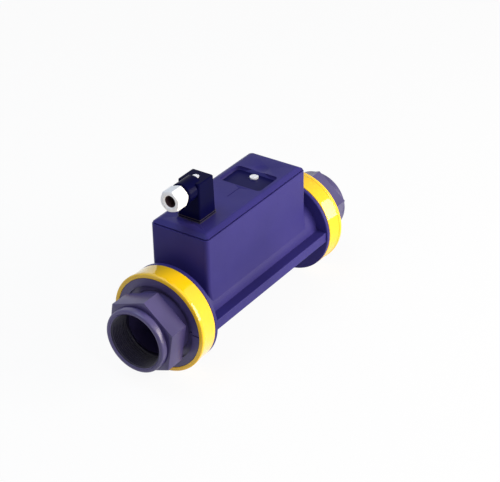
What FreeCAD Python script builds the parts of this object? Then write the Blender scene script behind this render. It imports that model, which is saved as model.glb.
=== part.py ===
import FreeCAD, Part
import math
import os
import Sketcher
from FreeCAD import Placement, Rotation, Vector

# Inline turbine flow meter. Millimetres. The pipe axis is X, with the origin at the centre of the inlet mouth,
# +X along the flow and +Z up through the electronics housing. The outlet end mirrors the inlet end.

doc = FreeCAD.newDocument("TurbineFlowMeter")
sheet = doc.addObject("Spreadsheet::Sheet", "Dimensions")

SIZES = {
    # overall and flow passage
    "meter_length": 336.0, "bore_radius": 26.0,
    # pipe thread in the end fittings, drawn as its minor cylinder
    "thread_shoulder": 2.33, "thread_lead": 2.4, "pipe_thread_length": 23.6,
    # end fitting: bead, neck, hexagon, sleeve and flange
    "thread_wall": 4.67, "bead_height": 1.6, "bead_length": 8.0, "bead_round": 2.4, "bead_back_round": 0.9,
    "bead_gap": 2.0, "hex_length": 23.0, "hex_corner_radius": 42.5, "hex_first_angle": 39.5,
    "sleeve_wall": 6.27, "sleeve_length": 6.4, "flange_thickness": 6.0, "flange_clearance": 1.7,
    # O-ring in the fitting's face
    "seal_groove_depth": 2.2, "seal_setback": 6.5, "seal_groove_width": 2.8, "seal_section_radius": 1.1,
    # split thrust ring
    "split_setback": 0.3, "split_clearance": 0.3, "split_rim_width": 7.9, "split_recess_depth": 3.6,
    "split_flange_thickness": 4.2, "split_gap": 1.2,
    # union ring
    "union_band_radius": 53.2, "union_lip_height": 0.9, "union_lip_width": 4.8, "union_lip_thickness": 2.4,
    "union_lip_wall": 3.6, "union_seat_wall": 2.2, "union_wall": 4.2, "union_thread_depth": 1.4,
    "union_step_gap": 0.2, "union_end_gap": 0.2, "union_round": 1.9, "union_lip_back_round": 1.2,
    "union_band_round": 0.8,
    # threaded hub, relief, collar and barrel of the meter body
    "thread_clearance": 0.3, "hub_thread_length": 6.0, "hub_relief_depth": 2.3, "hub_length": 10.0,
    "collar_drop": 0.2, "collar_thickness": 4.6, "collar_bevel": 0.6, "barrel_radius": 40.0,
    "plate_inset": 2.0, "plate_top": 5.2, "plate_bottom": 6.0, "plate_round": 0.9, "plate_overlap": 0.5,
    # electronics housing
    "box_front_setback": 11.6, "box_back_setback": 15.4, "box_half_width": 34.5, "box_top": 84.4,
    "box_corner_round": 4.5, "flare_rise": 0.2, "flare_foot_inset": 2.0, "flare_foot_height": 11.0,
    "flare_radius": 98.0, "box_wall": 4.8, "bay_floor_rise": 4.0, "bay_corner_round": 2.5, "seam_bevel": 0.45,
    # lid: low skirt, sloping margin and flat crown
    "lid_rise": 4.6, "lid_skirt": 0.9, "lid_slope_width": 5.8, "lid_crown_round": 1.5, "lid_lip_depth": 2.4,
    "lid_lip_width": 2.2, "lid_lip_clearance": 0.25, "lid_lip_hollow_round": 1.0,
    # sunk cover in the lid and the tub below it
    "recess_setback": 36.5, "recess_length": 35.5, "recess_margin": 9.1, "recess_round": 4.6,
    "tub_front_wall": 3.6, "tub_back_wall": 3.6, "tub_side_wall": 2.8, "tub_round": 3.0, "ledge_thickness": 2.2,
    "cover_clearance": 0.3, "cover_drop": 4.3, "cover_thickness": 1.7, "cover_gasket_thickness": 0.8,
    "cover_bevel": 0.35, "window_front_margin": 5.0, "window_length": 16.0, "window_side_margin": 8.4,
    "window_round": 2.0, "cover_gasket_width": 2.4, "cover_screw_setback": 7.5, "cover_screw_head_radius": 4.6,
    "cover_screw_head_height": 1.6, "cover_screw_radius": 1.95, "cover_screw_hole_clearance": 0.3,
    "cover_screw_end_gap": 0.4, "cover_foot_radius": 4.2,
    "lift_bay_gap": 5.5, "lift_bay_radius": 9.5, "lift_bay_depth": 1.8,
    "mark_gap": 4.6, "mark_length": 20.9, "mark_place": -3.7, "mark_half_width": 0.45, "mark_depth": 0.5,
    # square connector on the lid: base, gaskets, contacts
    "plug_setback": 32.6, "plug_offset": 0.8, "base_gasket_thickness": 0.8, "base_gasket_margin": 0.8,
    "base_flange_thickness": 1.8, "base_margin": -0.4, "base_tail_radius": 8.8, "base_tail_length": 10.3,
    "tail_clearance": 0.3, "pillar_radius": 2.9, "pillar_height": 12.4, "pillar_hole_radius": 1.5,
    "pillar_hole_floor": 1.0, "blade_reach": 6.4, "blade_width": 5.0, "blade_thickness": 0.8,
    "blade_height": 10.9, "base_screw_inset": 4.4, "base_screw_radius": 1.25, "base_screw_head_radius": 2.3,
    "base_screw_head_height": 1.4, "base_screw_grip": 3.0, "base_screw_clearance": 0.2,
    "small_screw_fit": 0.05, "plug_gasket_thickness": 0.8, "plug_gasket_margin": 0.2,
    # plug housing
    "plug_height": 39.2, "plug_foot_half_width": 13.4, "plug_draft": 0.8, "plug_corner_round": 2.0,
    "plug_top_bevel": 0.9, "plug_crown_round": 1.4, "plug_wall": 2.1, "carrier_room_height": 16.0,
    "carrier_room_round": 1.0, "chamber_side_step": 2.3, "chamber_end_step": 3.7, "chamber_round": 1.5,
    "plug_roof": 4.0, "carrier_gap": 1.0, "carrier_clearance": 0.6, "carrier_hole_clearance": 0.7,
    "carrier_slot_clearance": 0.4, "carrier_slot_height": 11.2, "terminal_screw_radius": 1.8,
    "terminal_screw_height": 2.0, "terminal_screw_place": 5.2, "terminal_screw_side": 6.4,
    "plug_screw_radius": 1.45, "plug_screw_clearance": 0.3, "plug_screw_head_radius": 3.7,
    "plug_screw_head_clearance": 0.5, "plug_screw_sink": 1.2, "plug_screw_head_height": 1.8,
    "plug_screw_tip_gap": 2.4,
    # cable gland on the plug
    "gland_drop": 8.3, "boss_reach": 25.2, "boss_rear_reach": 4.0, "gland_bore_radius": 8.7, "boss_wall": 2.8,
    "boss_bevel": 0.8, "gland_bore_depth": 18.6, "nut_gap": 2.0, "nut_length": 19.0, "nut_overhang": 0.5,
    "nut_angle": 43.8, "nut_bevel": 1.4, "nut_funnel_radius": 8.6, "nut_funnel_depth": 4.3,
    "shank_clearance": 0.3, "shank_engagement": 9.4, "cable_hole_radius": 6.0, "washer_thickness": 1.2,
    "washer_clearance": 0.5, "washer_hole_radius": 5.8, "grommet_hole_radius": 4.2,
    # turbine cartridge, placed from the middle of the meter
    "throat_step": 0.4, "seat_step": 0.6, "keeper_grip": 1.0, "keeper_clearance": 0.2, "keeper_width": 2.4,
    "keeper_thickness": 1.8, "keeper_side_gap": 0.1, "keeper_gap_half_width": 4.0, "ring_clearance": 0.1,
    "ring_wall": 1.9, "ring_length": 33.0, "throat_setback": 5.0, "vane_setback": 11.0, "vane_length": 21.0,
    "vane_slope": 2.5, "vane_root": 1.5, "vane_thickness": 1.5, "core_radius": 8.5, "nose_length": 19.0,
    "nose_tip_radius": 0.8, "nose_arc": 27.3, "bush_length": 8.0, "bush_radius": 4.0, "shaft_radius": 1.5,
    "shaft_clearance": 0.04, "shaft_end_gap": 0.5,
    "rotor_end_gap": 1.0, "rotor_hub_half_length": 10.0, "rotor_blade_half_length": 8.0, "rotor_hub_radius": 8.6,
    "rotor_hub_bevel": 0.8, "rotor_blade_root": 1.2, "rim_clearance": 0.5, "rim_thickness": 1.6,
    "tip_overlap": 0.5, "rotor_blade_count": 8, "rotor_blade_thickness": 1.7, "rotor_twist": 26.0,
    "magnet_radius": 2.0, "magnet_cover": 0.1, "magnet_length": 1.35, "magnet_clearance": 0.02,
    # pickup, circuit board and what stands on it
    "well_wall": 3.2, "pickup_radius": 6.0, "pickup_clearance": 0.3, "pickup_collar_radius": 8.6,
    "pickup_collar_height": 2.4, "pickup_stem_radius": 3.2,
    "board_front_gap": 7.0, "board_back_gap": 7.2, "board_side_gap": 3.7, "board_thickness": 1.6,
    "post_height": 14.0, "post_radius": 4.0, "post_inset": 7.0, "post_side_inset": 6.0,
    "board_screw_radius": 1.45, "board_screw_head_radius": 2.9, "board_screw_head_height": 2.0,
    "board_screw_depth": 9.0, "board_hole_clearance": 0.25, "post_hole_spare": 1.0,
    "processor_place": 18.0, "processor_side": 22.0, "processor_half": 7.0, "processor_height": 1.8,
    "relay_place": 30.0, "relay_side": 11.0, "relay_half_length": 10.0, "relay_half_width": 6.0,
    "relay_height": 12.0,
    "terminals_place": 1.2, "terminals_side": 14.0, "terminals_half_length": 14.0, "terminals_half_width": 5.0,
    "terminals_height": 10.0,
    "amplifier_side": 14.0, "amplifier_half_length": 5.0, "amplifier_half_width": 3.0, "amplifier_height": 2.0,
    "oscillator_place": 14.0, "oscillator_side": 12.0, "oscillator_half_length": 5.5,
    "oscillator_half_width": 2.2, "oscillator_height": 4.0,
    "regulator_place": 18.0, "regulator_side": 12.0, "regulator_half_length": 5.0, "regulator_half_width": 7.0,
    "regulator_height": 5.0,
    "large_capacitor_place": 20.0, "large_capacitor_side": 18.0, "large_capacitor_radius": 5.0,
    "large_capacitor_height": 13.0, "small_capacitor_place": 32.0, "small_capacitor_side": 6.0,
    "small_capacitor_radius": 4.0, "small_capacitor_height": 11.0,
    "header_half_length": 3.0, "header_half_width": 12.0, "header_height": 2.5, "pin_spacing": 2.8,
    "pin_row_half": 1.3, "pin_half_width": 0.35, "pin_height": 8.6, "cap_half_length": 2.5,
    "cap_half_width": 1.15, "cap_height": 6.7,
}
for row, (name, value) in enumerate(SIZES.items(), start=1):
    sheet.set("A%d" % row, name)
    sheet.set("B%d" % row, str(value))
    sheet.setAlias("B%d" % row, name)
doc.recompute()


class Size:
    # A length that keeps both its number and the spreadsheet expression behind it.
    def __init__(self, value, text):
        self.value = value
        self.text = text

    def __add__(self, other):
        other = size(other)
        return Size(self.value + other.value, "(%s + %s)" % (self.text, other.text))

    def __sub__(self, other):
        other = size(other)
        return Size(self.value - other.value, "(%s - %s)" % (self.text, other.text))

    def __mul__(self, other):
        other = size(other)
        return Size(self.value * other.value, "(%s * %s)" % (self.text, other.text))

    def __truediv__(self, other):
        other = size(other)
        return Size(self.value / other.value, "(%s / %s)" % (self.text, other.text))

    def __neg__(self):
        return Size(-self.value, "(0 - %s)" % self.text)

    __radd__ = __add__

    def __rsub__(self, other):
        return size(other) - self


def size(source):
    if isinstance(source, Size):
        return source
    if isinstance(source, str):
        if source in linked:
            return linked[source]
        return Size(float(SIZES[source]), "Dimensions.%s" % source)
    return Size(float(source), repr(float(source)))


# Places and sizes that follow from the named ones, each written as first, then (sign, step) pairs.
linked = {}


def link(name, first, *steps):
    total = size(first)
    for sign, step in steps:
        total = total + step if sign == "+" else total - step
    linked[name] = total


link("middle", size("meter_length") / 2)
# radii of the passage and the fitting
link("throat_radius", "bore_radius", ("+", "throat_step"))
link("seat_radius", "throat_radius", ("+", "seat_step"))
link("keeper_outer_radius", "seat_radius", ("+", "keeper_grip"))
link("keeper_groove_radius", "keeper_outer_radius", ("+", "keeper_clearance"))
link("keeper_inner_radius", "keeper_outer_radius", ("-", "keeper_width"))
link("vane_ring_outer", "seat_radius", ("-", "ring_clearance"))
link("vane_ring_inner", "vane_ring_outer", ("-", "ring_wall"))
link("rotor_rim_outer", "throat_radius", ("-", "rim_clearance"))
link("rotor_rim_inner", "rotor_rim_outer", ("-", "rim_thickness"))
link("rotor_tip_radius", "rotor_rim_inner", ("+", "tip_overlap"))
link("magnet_outer", "rotor_rim_outer", ("-", "magnet_cover"))
link("magnet_inner", "magnet_outer", ("-", "magnet_length"))
link("bush_hole_radius", "shaft_radius", ("+", "shaft_clearance"))
link("pipe_thread_radius", "bore_radius", ("+", "thread_shoulder"))
link("neck_radius", "pipe_thread_radius", ("+", "thread_wall"))
link("bead_radius", "neck_radius", ("+", "bead_height"))
link("sleeve_radius", "pipe_thread_radius", ("+", "sleeve_wall"))
link("seal_groove_inner", "bore_radius", ("+", "seal_setback"))
link("seal_groove_outer", "seal_groove_inner", ("+", "seal_groove_width"))
# radii of the union joint, from the union ring's outside inwards
link("union_lip_radius", "union_band_radius", ("+", "union_lip_height"))
link("union_mouth_radius", "union_band_radius", ("-", "union_lip_wall"))
link("union_seat_radius", "union_band_radius", ("-", "union_seat_wall"))
link("union_clear_radius", "union_band_radius", ("-", "union_wall"))
link("union_thread_radius", "union_clear_radius", ("-", "union_thread_depth"))
link("hub_thread_radius", "union_thread_radius", ("-", "thread_clearance"))
link("hub_relief_radius", "hub_thread_radius", ("-", "hub_relief_depth"))
link("flange_radius", "hub_thread_radius", ("-", "flange_clearance"))
link("collar_radius", "union_band_radius", ("-", "collar_drop"))
link("plate_half_width", "collar_radius", ("-", "plate_inset"))
link("split_outer_radius", "union_seat_radius", ("-", "split_clearance"))
link("split_step_outer", "union_mouth_radius", ("-", "split_clearance"))
link("split_step_inner", "split_step_outer", ("-", "split_rim_width"))
link("split_inner_radius", "sleeve_radius", ("+", "split_clearance"))
# stations from the inlet mouth inwards
link("pipe_thread_start", "thread_lead")
link("pipe_thread_end", "thread_lead", ("+", "pipe_thread_length"))
link("bead_back", "bead_length")
link("hex_front", "bead_back", ("+", "bead_gap"))
link("hex_back", "hex_front", ("+", "hex_length"))
link("union_front", "hex_back", ("+", "sleeve_length"))
link("union_lip_back", "union_front", ("+", "union_lip_width"))
link("split_step_front", "union_front", ("+", "split_setback"))
link("split_flange_front", "union_front", ("+", "union_lip_thickness"))
link("split_recess_floor", "split_step_front", ("+", "split_recess_depth"))
link("flange_front", "split_flange_front", ("+", "split_flange_thickness"))
link("union_seat_back", "flange_front", ("+", "union_step_gap"))
link("joint_face", "flange_front", ("+", "flange_thickness"))
link("seal_groove_floor", "joint_face", ("-", "seal_groove_depth"))
link("union_thread_front", "joint_face", ("+", "union_step_gap"))
link("hub_thread_back", "joint_face", ("+", "hub_thread_length"))
link("union_thread_back", "hub_thread_back", ("+", "union_step_gap"))
link("collar_front", "joint_face", ("+", "hub_length"))
link("union_back", "collar_front", ("-", "union_end_gap"))
link("collar_back", "collar_front", ("+", "collar_thickness"))
link("box_front", "collar_back", ("+", "box_front_setback"))
link("box_back", "meter_length", ("-", "collar_back"), ("-", "box_back_setback"))
# heights of the housing and its lid
link("bay_floor", "barrel_radius", ("+", "bay_floor_rise"))
link("flare_top", "barrel_radius", ("+", "flare_rise"))
link("flare_foot_half_width", "barrel_radius", ("-", "flare_foot_inset"))
link("lid_top", "box_top", ("+", "lid_rise"))
link("cover_top", "lid_top", ("-", "cover_drop"))
link("cover_bottom", "cover_top", ("-", "cover_thickness"))
link("ledge_height", "cover_bottom", ("-", "cover_gasket_thickness"))
link("tub_floor", "ledge_height", ("-", "ledge_thickness"))
# the sunk cover, from the housing's outlet end and sides
link("recess_back", "box_back", ("-", "recess_setback"))
link("recess_front", "recess_back", ("-", "recess_length"))
link("recess_half_width", "box_half_width", ("-", "recess_margin"))
link("tub_front", "recess_front", ("-", "tub_front_wall"))
link("tub_back", "recess_back", ("+", "tub_back_wall"))
link("tub_half_width", "recess_half_width", ("+", "tub_side_wall"))
link("window_front", "recess_front", ("+", "window_front_margin"))
link("window_back", "window_front", ("+", "window_length"))
link("window_half_width", "recess_half_width", ("-", "window_side_margin"))
link("cover_screw_place", "recess_back", ("-", "cover_screw_setback"))
link("lift_bay_place", "recess_back", ("+", "lift_bay_gap"))
link("mark_back", "recess_front", ("-", "mark_gap"))
link("mark_front", "mark_back", ("-", "mark_length"))
# the square connector, upwards from the lid
link("plug_place", "box_front", ("+", "plug_setback"))
link("base_bottom", "lid_top", ("+", "base_gasket_thickness"))
link("base_top", "base_bottom", ("+", "base_flange_thickness"))
link("plug_foot", "base_top", ("+", "plug_gasket_thickness"))
link("plug_top", "plug_foot", ("+", "plug_height"))
link("base_half_width", "plug_foot_half_width", ("+", "base_margin"))
link("base_gasket_half_width", "base_half_width", ("+", "base_gasket_margin"))
link("base_screw_reach", "base_half_width", ("-", "base_screw_inset"))
link("base_tail_bottom", "base_bottom", ("-", "base_tail_length"))
link("tail_hole_radius", "base_tail_radius", ("+", "tail_clearance"))
link("pillar_top", "base_top", ("+", "pillar_height"))
link("blade_top", "base_top", ("+", "blade_height"))
link("base_screw_depth", "base_flange_thickness", ("+", "base_gasket_thickness"), ("+", "base_screw_grip"))
link("plug_top_half_width", "plug_foot_half_width", ("-", "plug_draft"))
link("plug_room", "plug_foot_half_width", ("-", "plug_wall"))
link("carrier_room_top", "plug_foot", ("+", "carrier_room_height"))
link("carrier_bottom", "plug_foot", ("+", "carrier_gap"))
link("carrier_half_width", "plug_room", ("-", "carrier_clearance"))
link("carrier_hole_radius", "pillar_radius", ("+", "carrier_hole_clearance"))
link("carrier_slot_top", "carrier_bottom", ("+", "carrier_slot_height"))
link("chamber_half_width", "plug_room", ("-", "chamber_side_step"))
link("chamber_half_length", "plug_room", ("-", "chamber_end_step"))
link("plug_screw_seat", "plug_top", ("-", "plug_screw_sink"))
link("chamber_top", "plug_screw_seat", ("-", "plug_roof"))
link("plug_screw_tip", "base_top", ("+", "plug_screw_tip_gap"))
# the cable gland, outwards from the plug
link("gland_height", "plug_top", ("-", "gland_drop"))
link("gland_boss_front", "plug_place", ("-", "boss_reach"))
link("gland_boss_rear", "plug_place", ("-", "boss_rear_reach"))
link("gland_boss_radius", "gland_bore_radius", ("+", "boss_wall"))
link("gland_bore_back", "gland_boss_front", ("+", "gland_bore_depth"))
link("nut_back", "gland_boss_front", ("-", "nut_gap"))
link("nut_front", "nut_back", ("-", "nut_length"))
link("nut_corner_radius", "gland_boss_radius", ("+", "nut_overhang"))
link("nut_shank_radius", "gland_bore_radius", ("-", "shank_clearance"))
link("nut_shank_back", "gland_boss_front", ("+", "shank_engagement"))
link("washer_back", "nut_shank_back", ("+", "washer_thickness"))
link("washer_outer_radius", "gland_bore_radius", ("-", "washer_clearance"))
link("grommet_outer_radius", "gland_bore_radius", ("-", "shank_clearance"))
# the cartridge, outwards from the middle
link("rotor_hub_front", "middle", ("-", "rotor_hub_half_length"))
link("rotor_blade_front", "middle", ("-", "rotor_blade_half_length"))
link("core_back", "rotor_hub_front", ("-", "rotor_end_gap"))
link("bush_front", "core_back", ("-", "bush_length"))
link("seat_end", "core_back", ("-", "throat_setback"))
link("keeper_back", "seat_end", ("-", "ring_length"))
link("keeper_front", "keeper_back", ("-", "keeper_thickness"))
link("vane_back", "core_back", ("-", "vane_setback"))
link("vane_front", "vane_back", ("-", "vane_length"))
link("nose_tip", "vane_front", ("-", "nose_length"))
# pickup and board
link("well_floor", "throat_radius", ("+", "well_wall"))
link("well_radius", "pickup_radius", ("+", "pickup_clearance"))
link("pickup_collar_top", "bay_floor", ("+", "pickup_collar_height"))
link("board_bottom", "bay_floor", ("+", "post_height"))
link("board_top", "board_bottom", ("+", "board_thickness"))
link("board_front", "box_front", ("+", "box_wall"), ("+", "board_front_gap"))
link("board_back", "box_back", ("-", "box_wall"), ("-", "board_back_gap"))
link("board_half_width", "box_half_width", ("-", "box_wall"), ("-", "board_side_gap"))
link("post_front", "board_front", ("+", "post_inset"))
link("post_back", "board_back", ("-", "post_inset"))
link("post_half_width", "board_half_width", ("-", "post_side_inset"))


def bind(thing, prop, source):
    thing.setExpression(prop, size(source).text)


def place(thing, x, y, z):
    for letter, source in zip("xyz", (x, y, z)):
        bind(thing, "Placement.Base.%s" % letter, source)


# ---- sketches ----

def newBody(label):
    body = doc.addObject("PartDesign::Body", "Body_" + label)
    body.Label = label
    return body


def newSketch(body, name, plane, offset=0.0):
    sketch = body.newObject("Sketcher::SketchObject", name)
    plane = [f for f in body.Origin.OriginFeatures if f.Role == plane][0]
    sketch.AttachmentSupport = [(plane, "")]
    sketch.MapMode = "FlatFace"
    bind(sketch, "AttachmentOffset.Base.z", offset)
    return sketch


def pin(sketch, geometry, end, x, y):
    # Fixes one end of a line or arc at bound coordinates.
    for kind, source in (("DistanceX", size(x)), ("DistanceY", size(y))):
        if abs(source.value) < 1e-9:
            axis = -2 if kind == "DistanceX" else -1
            sketch.addConstraint(Sketcher.Constraint("PointOnObject", geometry, end, axis))
            continue
        if source.value > 0:
            made = Sketcher.Constraint(kind, -1, 1, geometry, end, source.value)
        else:
            source = -source
            made = Sketcher.Constraint(kind, geometry, end, -1, 1, source.value)
        index = sketch.addConstraint(made)
        sketch.setExpression("Constraints[%d]" % index, source.text)


def outline(body, name, plane, corners, offset=0.0):
    # Closed outline through the corners. A corner may carry an arc radius for the edge that leads to it:
    # positive bulges to the left of the travel, negative to the right.
    sketch = newSketch(body, name, plane, offset)
    points = [(size(c[0]), size(c[1])) for c in corners]
    for i, corner in enumerate(corners):
        a = Vector(points[i - 1][0].value, points[i - 1][1].value, 0)
        b = Vector(points[i][0].value, points[i][1].value, 0)
        if len(corner) == 2:
            sketch.addGeometry(Part.LineSegment(a, b))
            continue
        radius = size(corner[2]).value
        half = (b - a) * 0.5
        left = Vector(-half.y, half.x, 0).normalize()
        rise = math.sqrt(radius ** 2 - half.Length ** 2)
        centre = a + half - left * math.copysign(rise, radius)
        circle = Part.Circle(centre, Vector(0, 0, 1), abs(radius))
        angles = [math.atan2(p.y - centre.y, p.x - centre.x) for p in (a, b)]
        if radius > 0:
            angles.reverse()
        if angles[1] < angles[0]:
            angles[1] += 2 * math.pi
        sketch.addGeometry(Part.ArcOfCircle(circle, *angles))
    count = len(corners)
    starts = [2 if len(c) == 3 and size(c[2]).value > 0 else 1 for c in corners]
    for i in range(count):
        after = (i + 1) % count
        sketch.addConstraint(Sketcher.Constraint("Coincident", i, 3 - starts[i], after, starts[after]))
        pin(sketch, i, 3 - starts[i], *points[i])
        if len(corners[i]) == 3:
            radius = size(corners[i][2])
            radius = radius if radius.value > 0 else -radius
            index = sketch.addConstraint(Sketcher.Constraint("Radius", i, radius.value))
            sketch.setExpression("Constraints[%d]" % index, radius.text)
    return sketch


def roundedRectangle(body, name, plane, low, high, round_, offset=0.0):
    # Rectangle between two corners with four equal corner arcs.
    sketch = newSketch(body, name, plane, offset)
    (x0, y0), (x1, y1), r = [size(v) for v in low], [size(v) for v in high], size(round_)
    a, b, c, d, q = x0.value, y0.value, x1.value, y1.value, r.value
    lines = [((a + q, b), (c - q, b)), ((c, b + q), (c, d - q)), ((c - q, d), (a + q, d)), ((a, d - q), (a, b + q))]
    centres = [(c - q, b + q), (c - q, d - q), (a + q, d - q), (a + q, b + q)]
    for (p, s), middle, quarter in zip(lines, centres, (3, 0, 1, 2)):
        sketch.addGeometry(Part.LineSegment(Vector(*p), Vector(*s)))
        circle = Part.Circle(Vector(*middle), Vector(0, 0, 1), q)
        sketch.addGeometry(Part.ArcOfCircle(circle, quarter * math.pi / 2, (quarter + 1) * math.pi / 2))
    for i in range(4):
        line, arc, after = 2 * i, 2 * i + 1, (2 * i + 2) % 8
        sketch.addConstraint(Sketcher.Constraint("Tangent", line, 2, arc, 1))
        sketch.addConstraint(Sketcher.Constraint("Tangent", arc, 2, after, 1))
        sketch.addConstraint(Sketcher.Constraint("Horizontal" if i % 2 == 0 else "Vertical", line))
        if i:
            sketch.addConstraint(Sketcher.Constraint("Equal", 1, arc))
    index = sketch.addConstraint(Sketcher.Constraint("Radius", 1, q))
    sketch.setExpression("Constraints[%d]" % index, r.text)
    for kind, line, source in (("DistanceY", 0, y0), ("DistanceX", 2, x1), ("DistanceY", 4, y1), ("DistanceX", 6, x0)):
        if source.value > 0:
            made = Sketcher.Constraint(kind, -1, 1, line, 1, source.value)
        else:
            source = -source
            made = Sketcher.Constraint(kind, line, 1, -1, 1, source.value)
        index = sketch.addConstraint(made)
        sketch.setExpression("Constraints[%d]" % index, source.text)
    return sketch


def circleSketch(body, name, plane, x, y, radius, offset=0.0):
    sketch = newSketch(body, name, plane, offset)
    x, y, radius = size(x), size(y), size(radius)
    sketch.addGeometry(Part.Circle(Vector(x.value, y.value, 0), Vector(0, 0, 1), radius.value))
    pin(sketch, 0, 3, x, y)
    index = sketch.addConstraint(Sketcher.Constraint("Radius", 0, radius.value))
    sketch.setExpression("Constraints[%d]" % index, radius.text)
    return sketch


def hexagonSketch(body, name, offset, radius, angle, around=None):
    # Regular hexagon about the pipe axis: the first corner lies at the angle. With around, the ring up to that
    # radius is drawn instead.
    sketch = newSketch(body, name, "YZ_Plane", offset)
    radius, angle = size(radius), size(angle)
    points = [Vector(math.cos(math.radians(angle.value + 60 * i)), math.sin(math.radians(angle.value + 60 * i)), 0)
              * radius.value for i in range(6)]
    for i in range(6):
        sketch.addGeometry(Part.LineSegment(points[i], points[(i + 1) % 6]))
    for i in range(6):
        sketch.addConstraint(Sketcher.Constraint("Coincident", i, 2, (i + 1) % 6, 1))
        if i:
            sketch.addConstraint(Sketcher.Constraint("Equal", 0, i))
    sketch.addGeometry(Part.Circle(Vector(0, 0, 0), Vector(0, 0, 1), radius.value), True)
    sketch.addConstraint(Sketcher.Constraint("Coincident", 6, 3, -1, 1))
    for i in range(6):
        sketch.addConstraint(Sketcher.Constraint("PointOnObject", i, 1, 6))
    bound = sketch.addConstraint(Sketcher.Constraint("Radius", 6, radius.value))
    sketch.setExpression("Constraints[%d]" % bound, radius.text)
    tilt = sketch.addConstraint(Sketcher.Constraint("Angle", 0, math.radians(angle.value + 120)))
    sketch.setExpression("Constraints[%d]" % tilt, "(%s + 120) * 1deg" % angle.text)
    if around is not None:
        around = size(around)
        sketch.addGeometry(Part.Circle(Vector(0, 0, 0), Vector(0, 0, 1), around.value))
        sketch.addConstraint(Sketcher.Constraint("Coincident", 7, 3, -1, 1))
        outer = sketch.addConstraint(Sketcher.Constraint("Radius", 7, around.value))
        sketch.setExpression("Constraints[%d]" % outer, around.text)
    return sketch


# ---- PartDesign features ----

def pad(body, name, sketch, length, backwards=False):
    made = body.newObject("PartDesign::Pad", name)
    made.Profile = sketch
    made.Reversed = backwards
    bind(made, "Length", length)
    doc.recompute()
    return made


def pocket(body, name, sketch, depth, backwards=False):
    before = body.Shape.Volume
    made = body.newObject("PartDesign::Pocket", name)
    made.Profile = sketch
    made.Reversed = backwards
    bind(made, "Length", depth)
    doc.recompute()
    if body.Shape.Volume > before - 1e-3:
        raise RuntimeError("%s removes nothing" % name)
    return made


def revolve(body, name, sketch):
    # Turns an outline in the X-Z plane about the pipe axis.
    made = body.newObject("PartDesign::Revolution", name)
    made.Profile = sketch
    made.ReferenceAxis = (sketch, ["H_Axis"])
    made.Angle = 360.0
    doc.recompute()
    return made


def groove(body, name, sketch, axis="H_Axis"):
    before = body.Shape.Volume
    made = body.newObject("PartDesign::Groove", name)
    made.Profile = sketch
    made.ReferenceAxis = (sketch, [axis])
    made.Angle = 360.0
    doc.recompute()
    if body.Shape.Volume > before - 1e-3:
        raise RuntimeError("%s removes nothing" % name)
    return made


def edgesWhere(shape, wanted):
    return ["Edge%d" % (i + 1) for i, edge in enumerate(shape.Edges) if wanted(edge)]


def dress(body, kind, name, amount, wanted):
    # Fillet or chamfer on the edges that meet the test.
    base = body.Tip
    edges = edgesWhere(base.Shape, wanted)
    if not edges:
        raise RuntimeError("%s finds no edges" % name)
    made = body.newObject("PartDesign::" + kind, name)
    made.Base = (base, edges)
    bind(made, "Radius" if kind == "Fillet" else "Size", amount)
    doc.recompute()
    return made


def polar(body, name, feature, count, axis="X_Axis"):
    made = body.newObject("PartDesign::PolarPattern", name)
    made.Originals = [feature]
    line = [f for f in body.Origin.OriginFeatures if f.Role == axis][0]
    made.Axis = (line, [""])
    made.Angle = 360.0
    bind(made, "Occurrences", count)
    body.Tip = made
    doc.recompute()
    return made


def isCircle(edge, radius, x=None):
    if not isinstance(edge.Curve, Part.Circle) or abs(edge.Curve.Radius - radius) > 1e-3:
        return False
    return x is None or abs(edge.Curve.Center.x - x) < 1e-3


def isUpright(edge, low, high):
    ends = [v.Point for v in edge.Vertexes]
    if len(ends) != 2 or math.hypot(ends[0].x - ends[1].x, ends[0].y - ends[1].y) > 1e-3:
        return False
    heights = sorted(p.z for p in ends)
    return heights[0] > low - 1e-3 and heights[1] < high + 1e-3


# ---- Part primitives ----

def block(name, low, high):
    made = doc.addObject("Part::Box", name)
    for prop, a, b in zip(("Length", "Width", "Height"), low, high):
        bind(made, prop, size(b) - size(a))
    place(made, *low)
    return made


def rod(name, radius, start, end, x=0.0, y=0.0, z=0.0, along="Z"):
    # Cylinder from start to end along one axis. The other two coordinates give its place.
    made = doc.addObject("Part::Cylinder", name)
    bind(made, "Radius", radius)
    bind(made, "Height", size(end) - size(start))
    if along == "X":
        made.Placement = Placement(Vector(0, 0, 0), Rotation(Vector(0, 1, 0), 90))
        place(made, start, y, z)
    else:
        place(made, x, y, start)
    return made


def cut(name, base, tools):
    for i, tool in enumerate(tools):
        made = doc.addObject("Part::Cut", name if i == len(tools) - 1 else "%s_%d" % (name, i))
        made.Base = base
        made.Tool = tool
        base = made
    return base


def fuse(name, parts):
    made = doc.addObject("Part::MultiFuse", name)
    made.Shapes = parts
    return made


def group(name, parts):
    # Several identical loose solids kept as one node.
    made = doc.addObject("Part::Compound", name)
    made.Links = parts
    return made


def mirrorOf(source, label):
    # The outlet's copy of an inlet piece, across the middle of the meter.
    made = doc.addObject("Part::Mirroring", label)
    made.Source = source
    made.Normal = Vector(1, 0, 0)
    bind(made, "Base.x", size("meter_length") / 2)
    made.Label = label
    return made


nodes = {}


def keep(thing, label=None):
    if label:
        thing.Label = label
    nodes[thing.Label] = thing
    return thing


length = size("meter_length")
middle = size("middle")


def far(source):
    return length - size(source)


# ---- meter body: barrel, collars, hubs, plates and housing in one moulding ----

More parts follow.
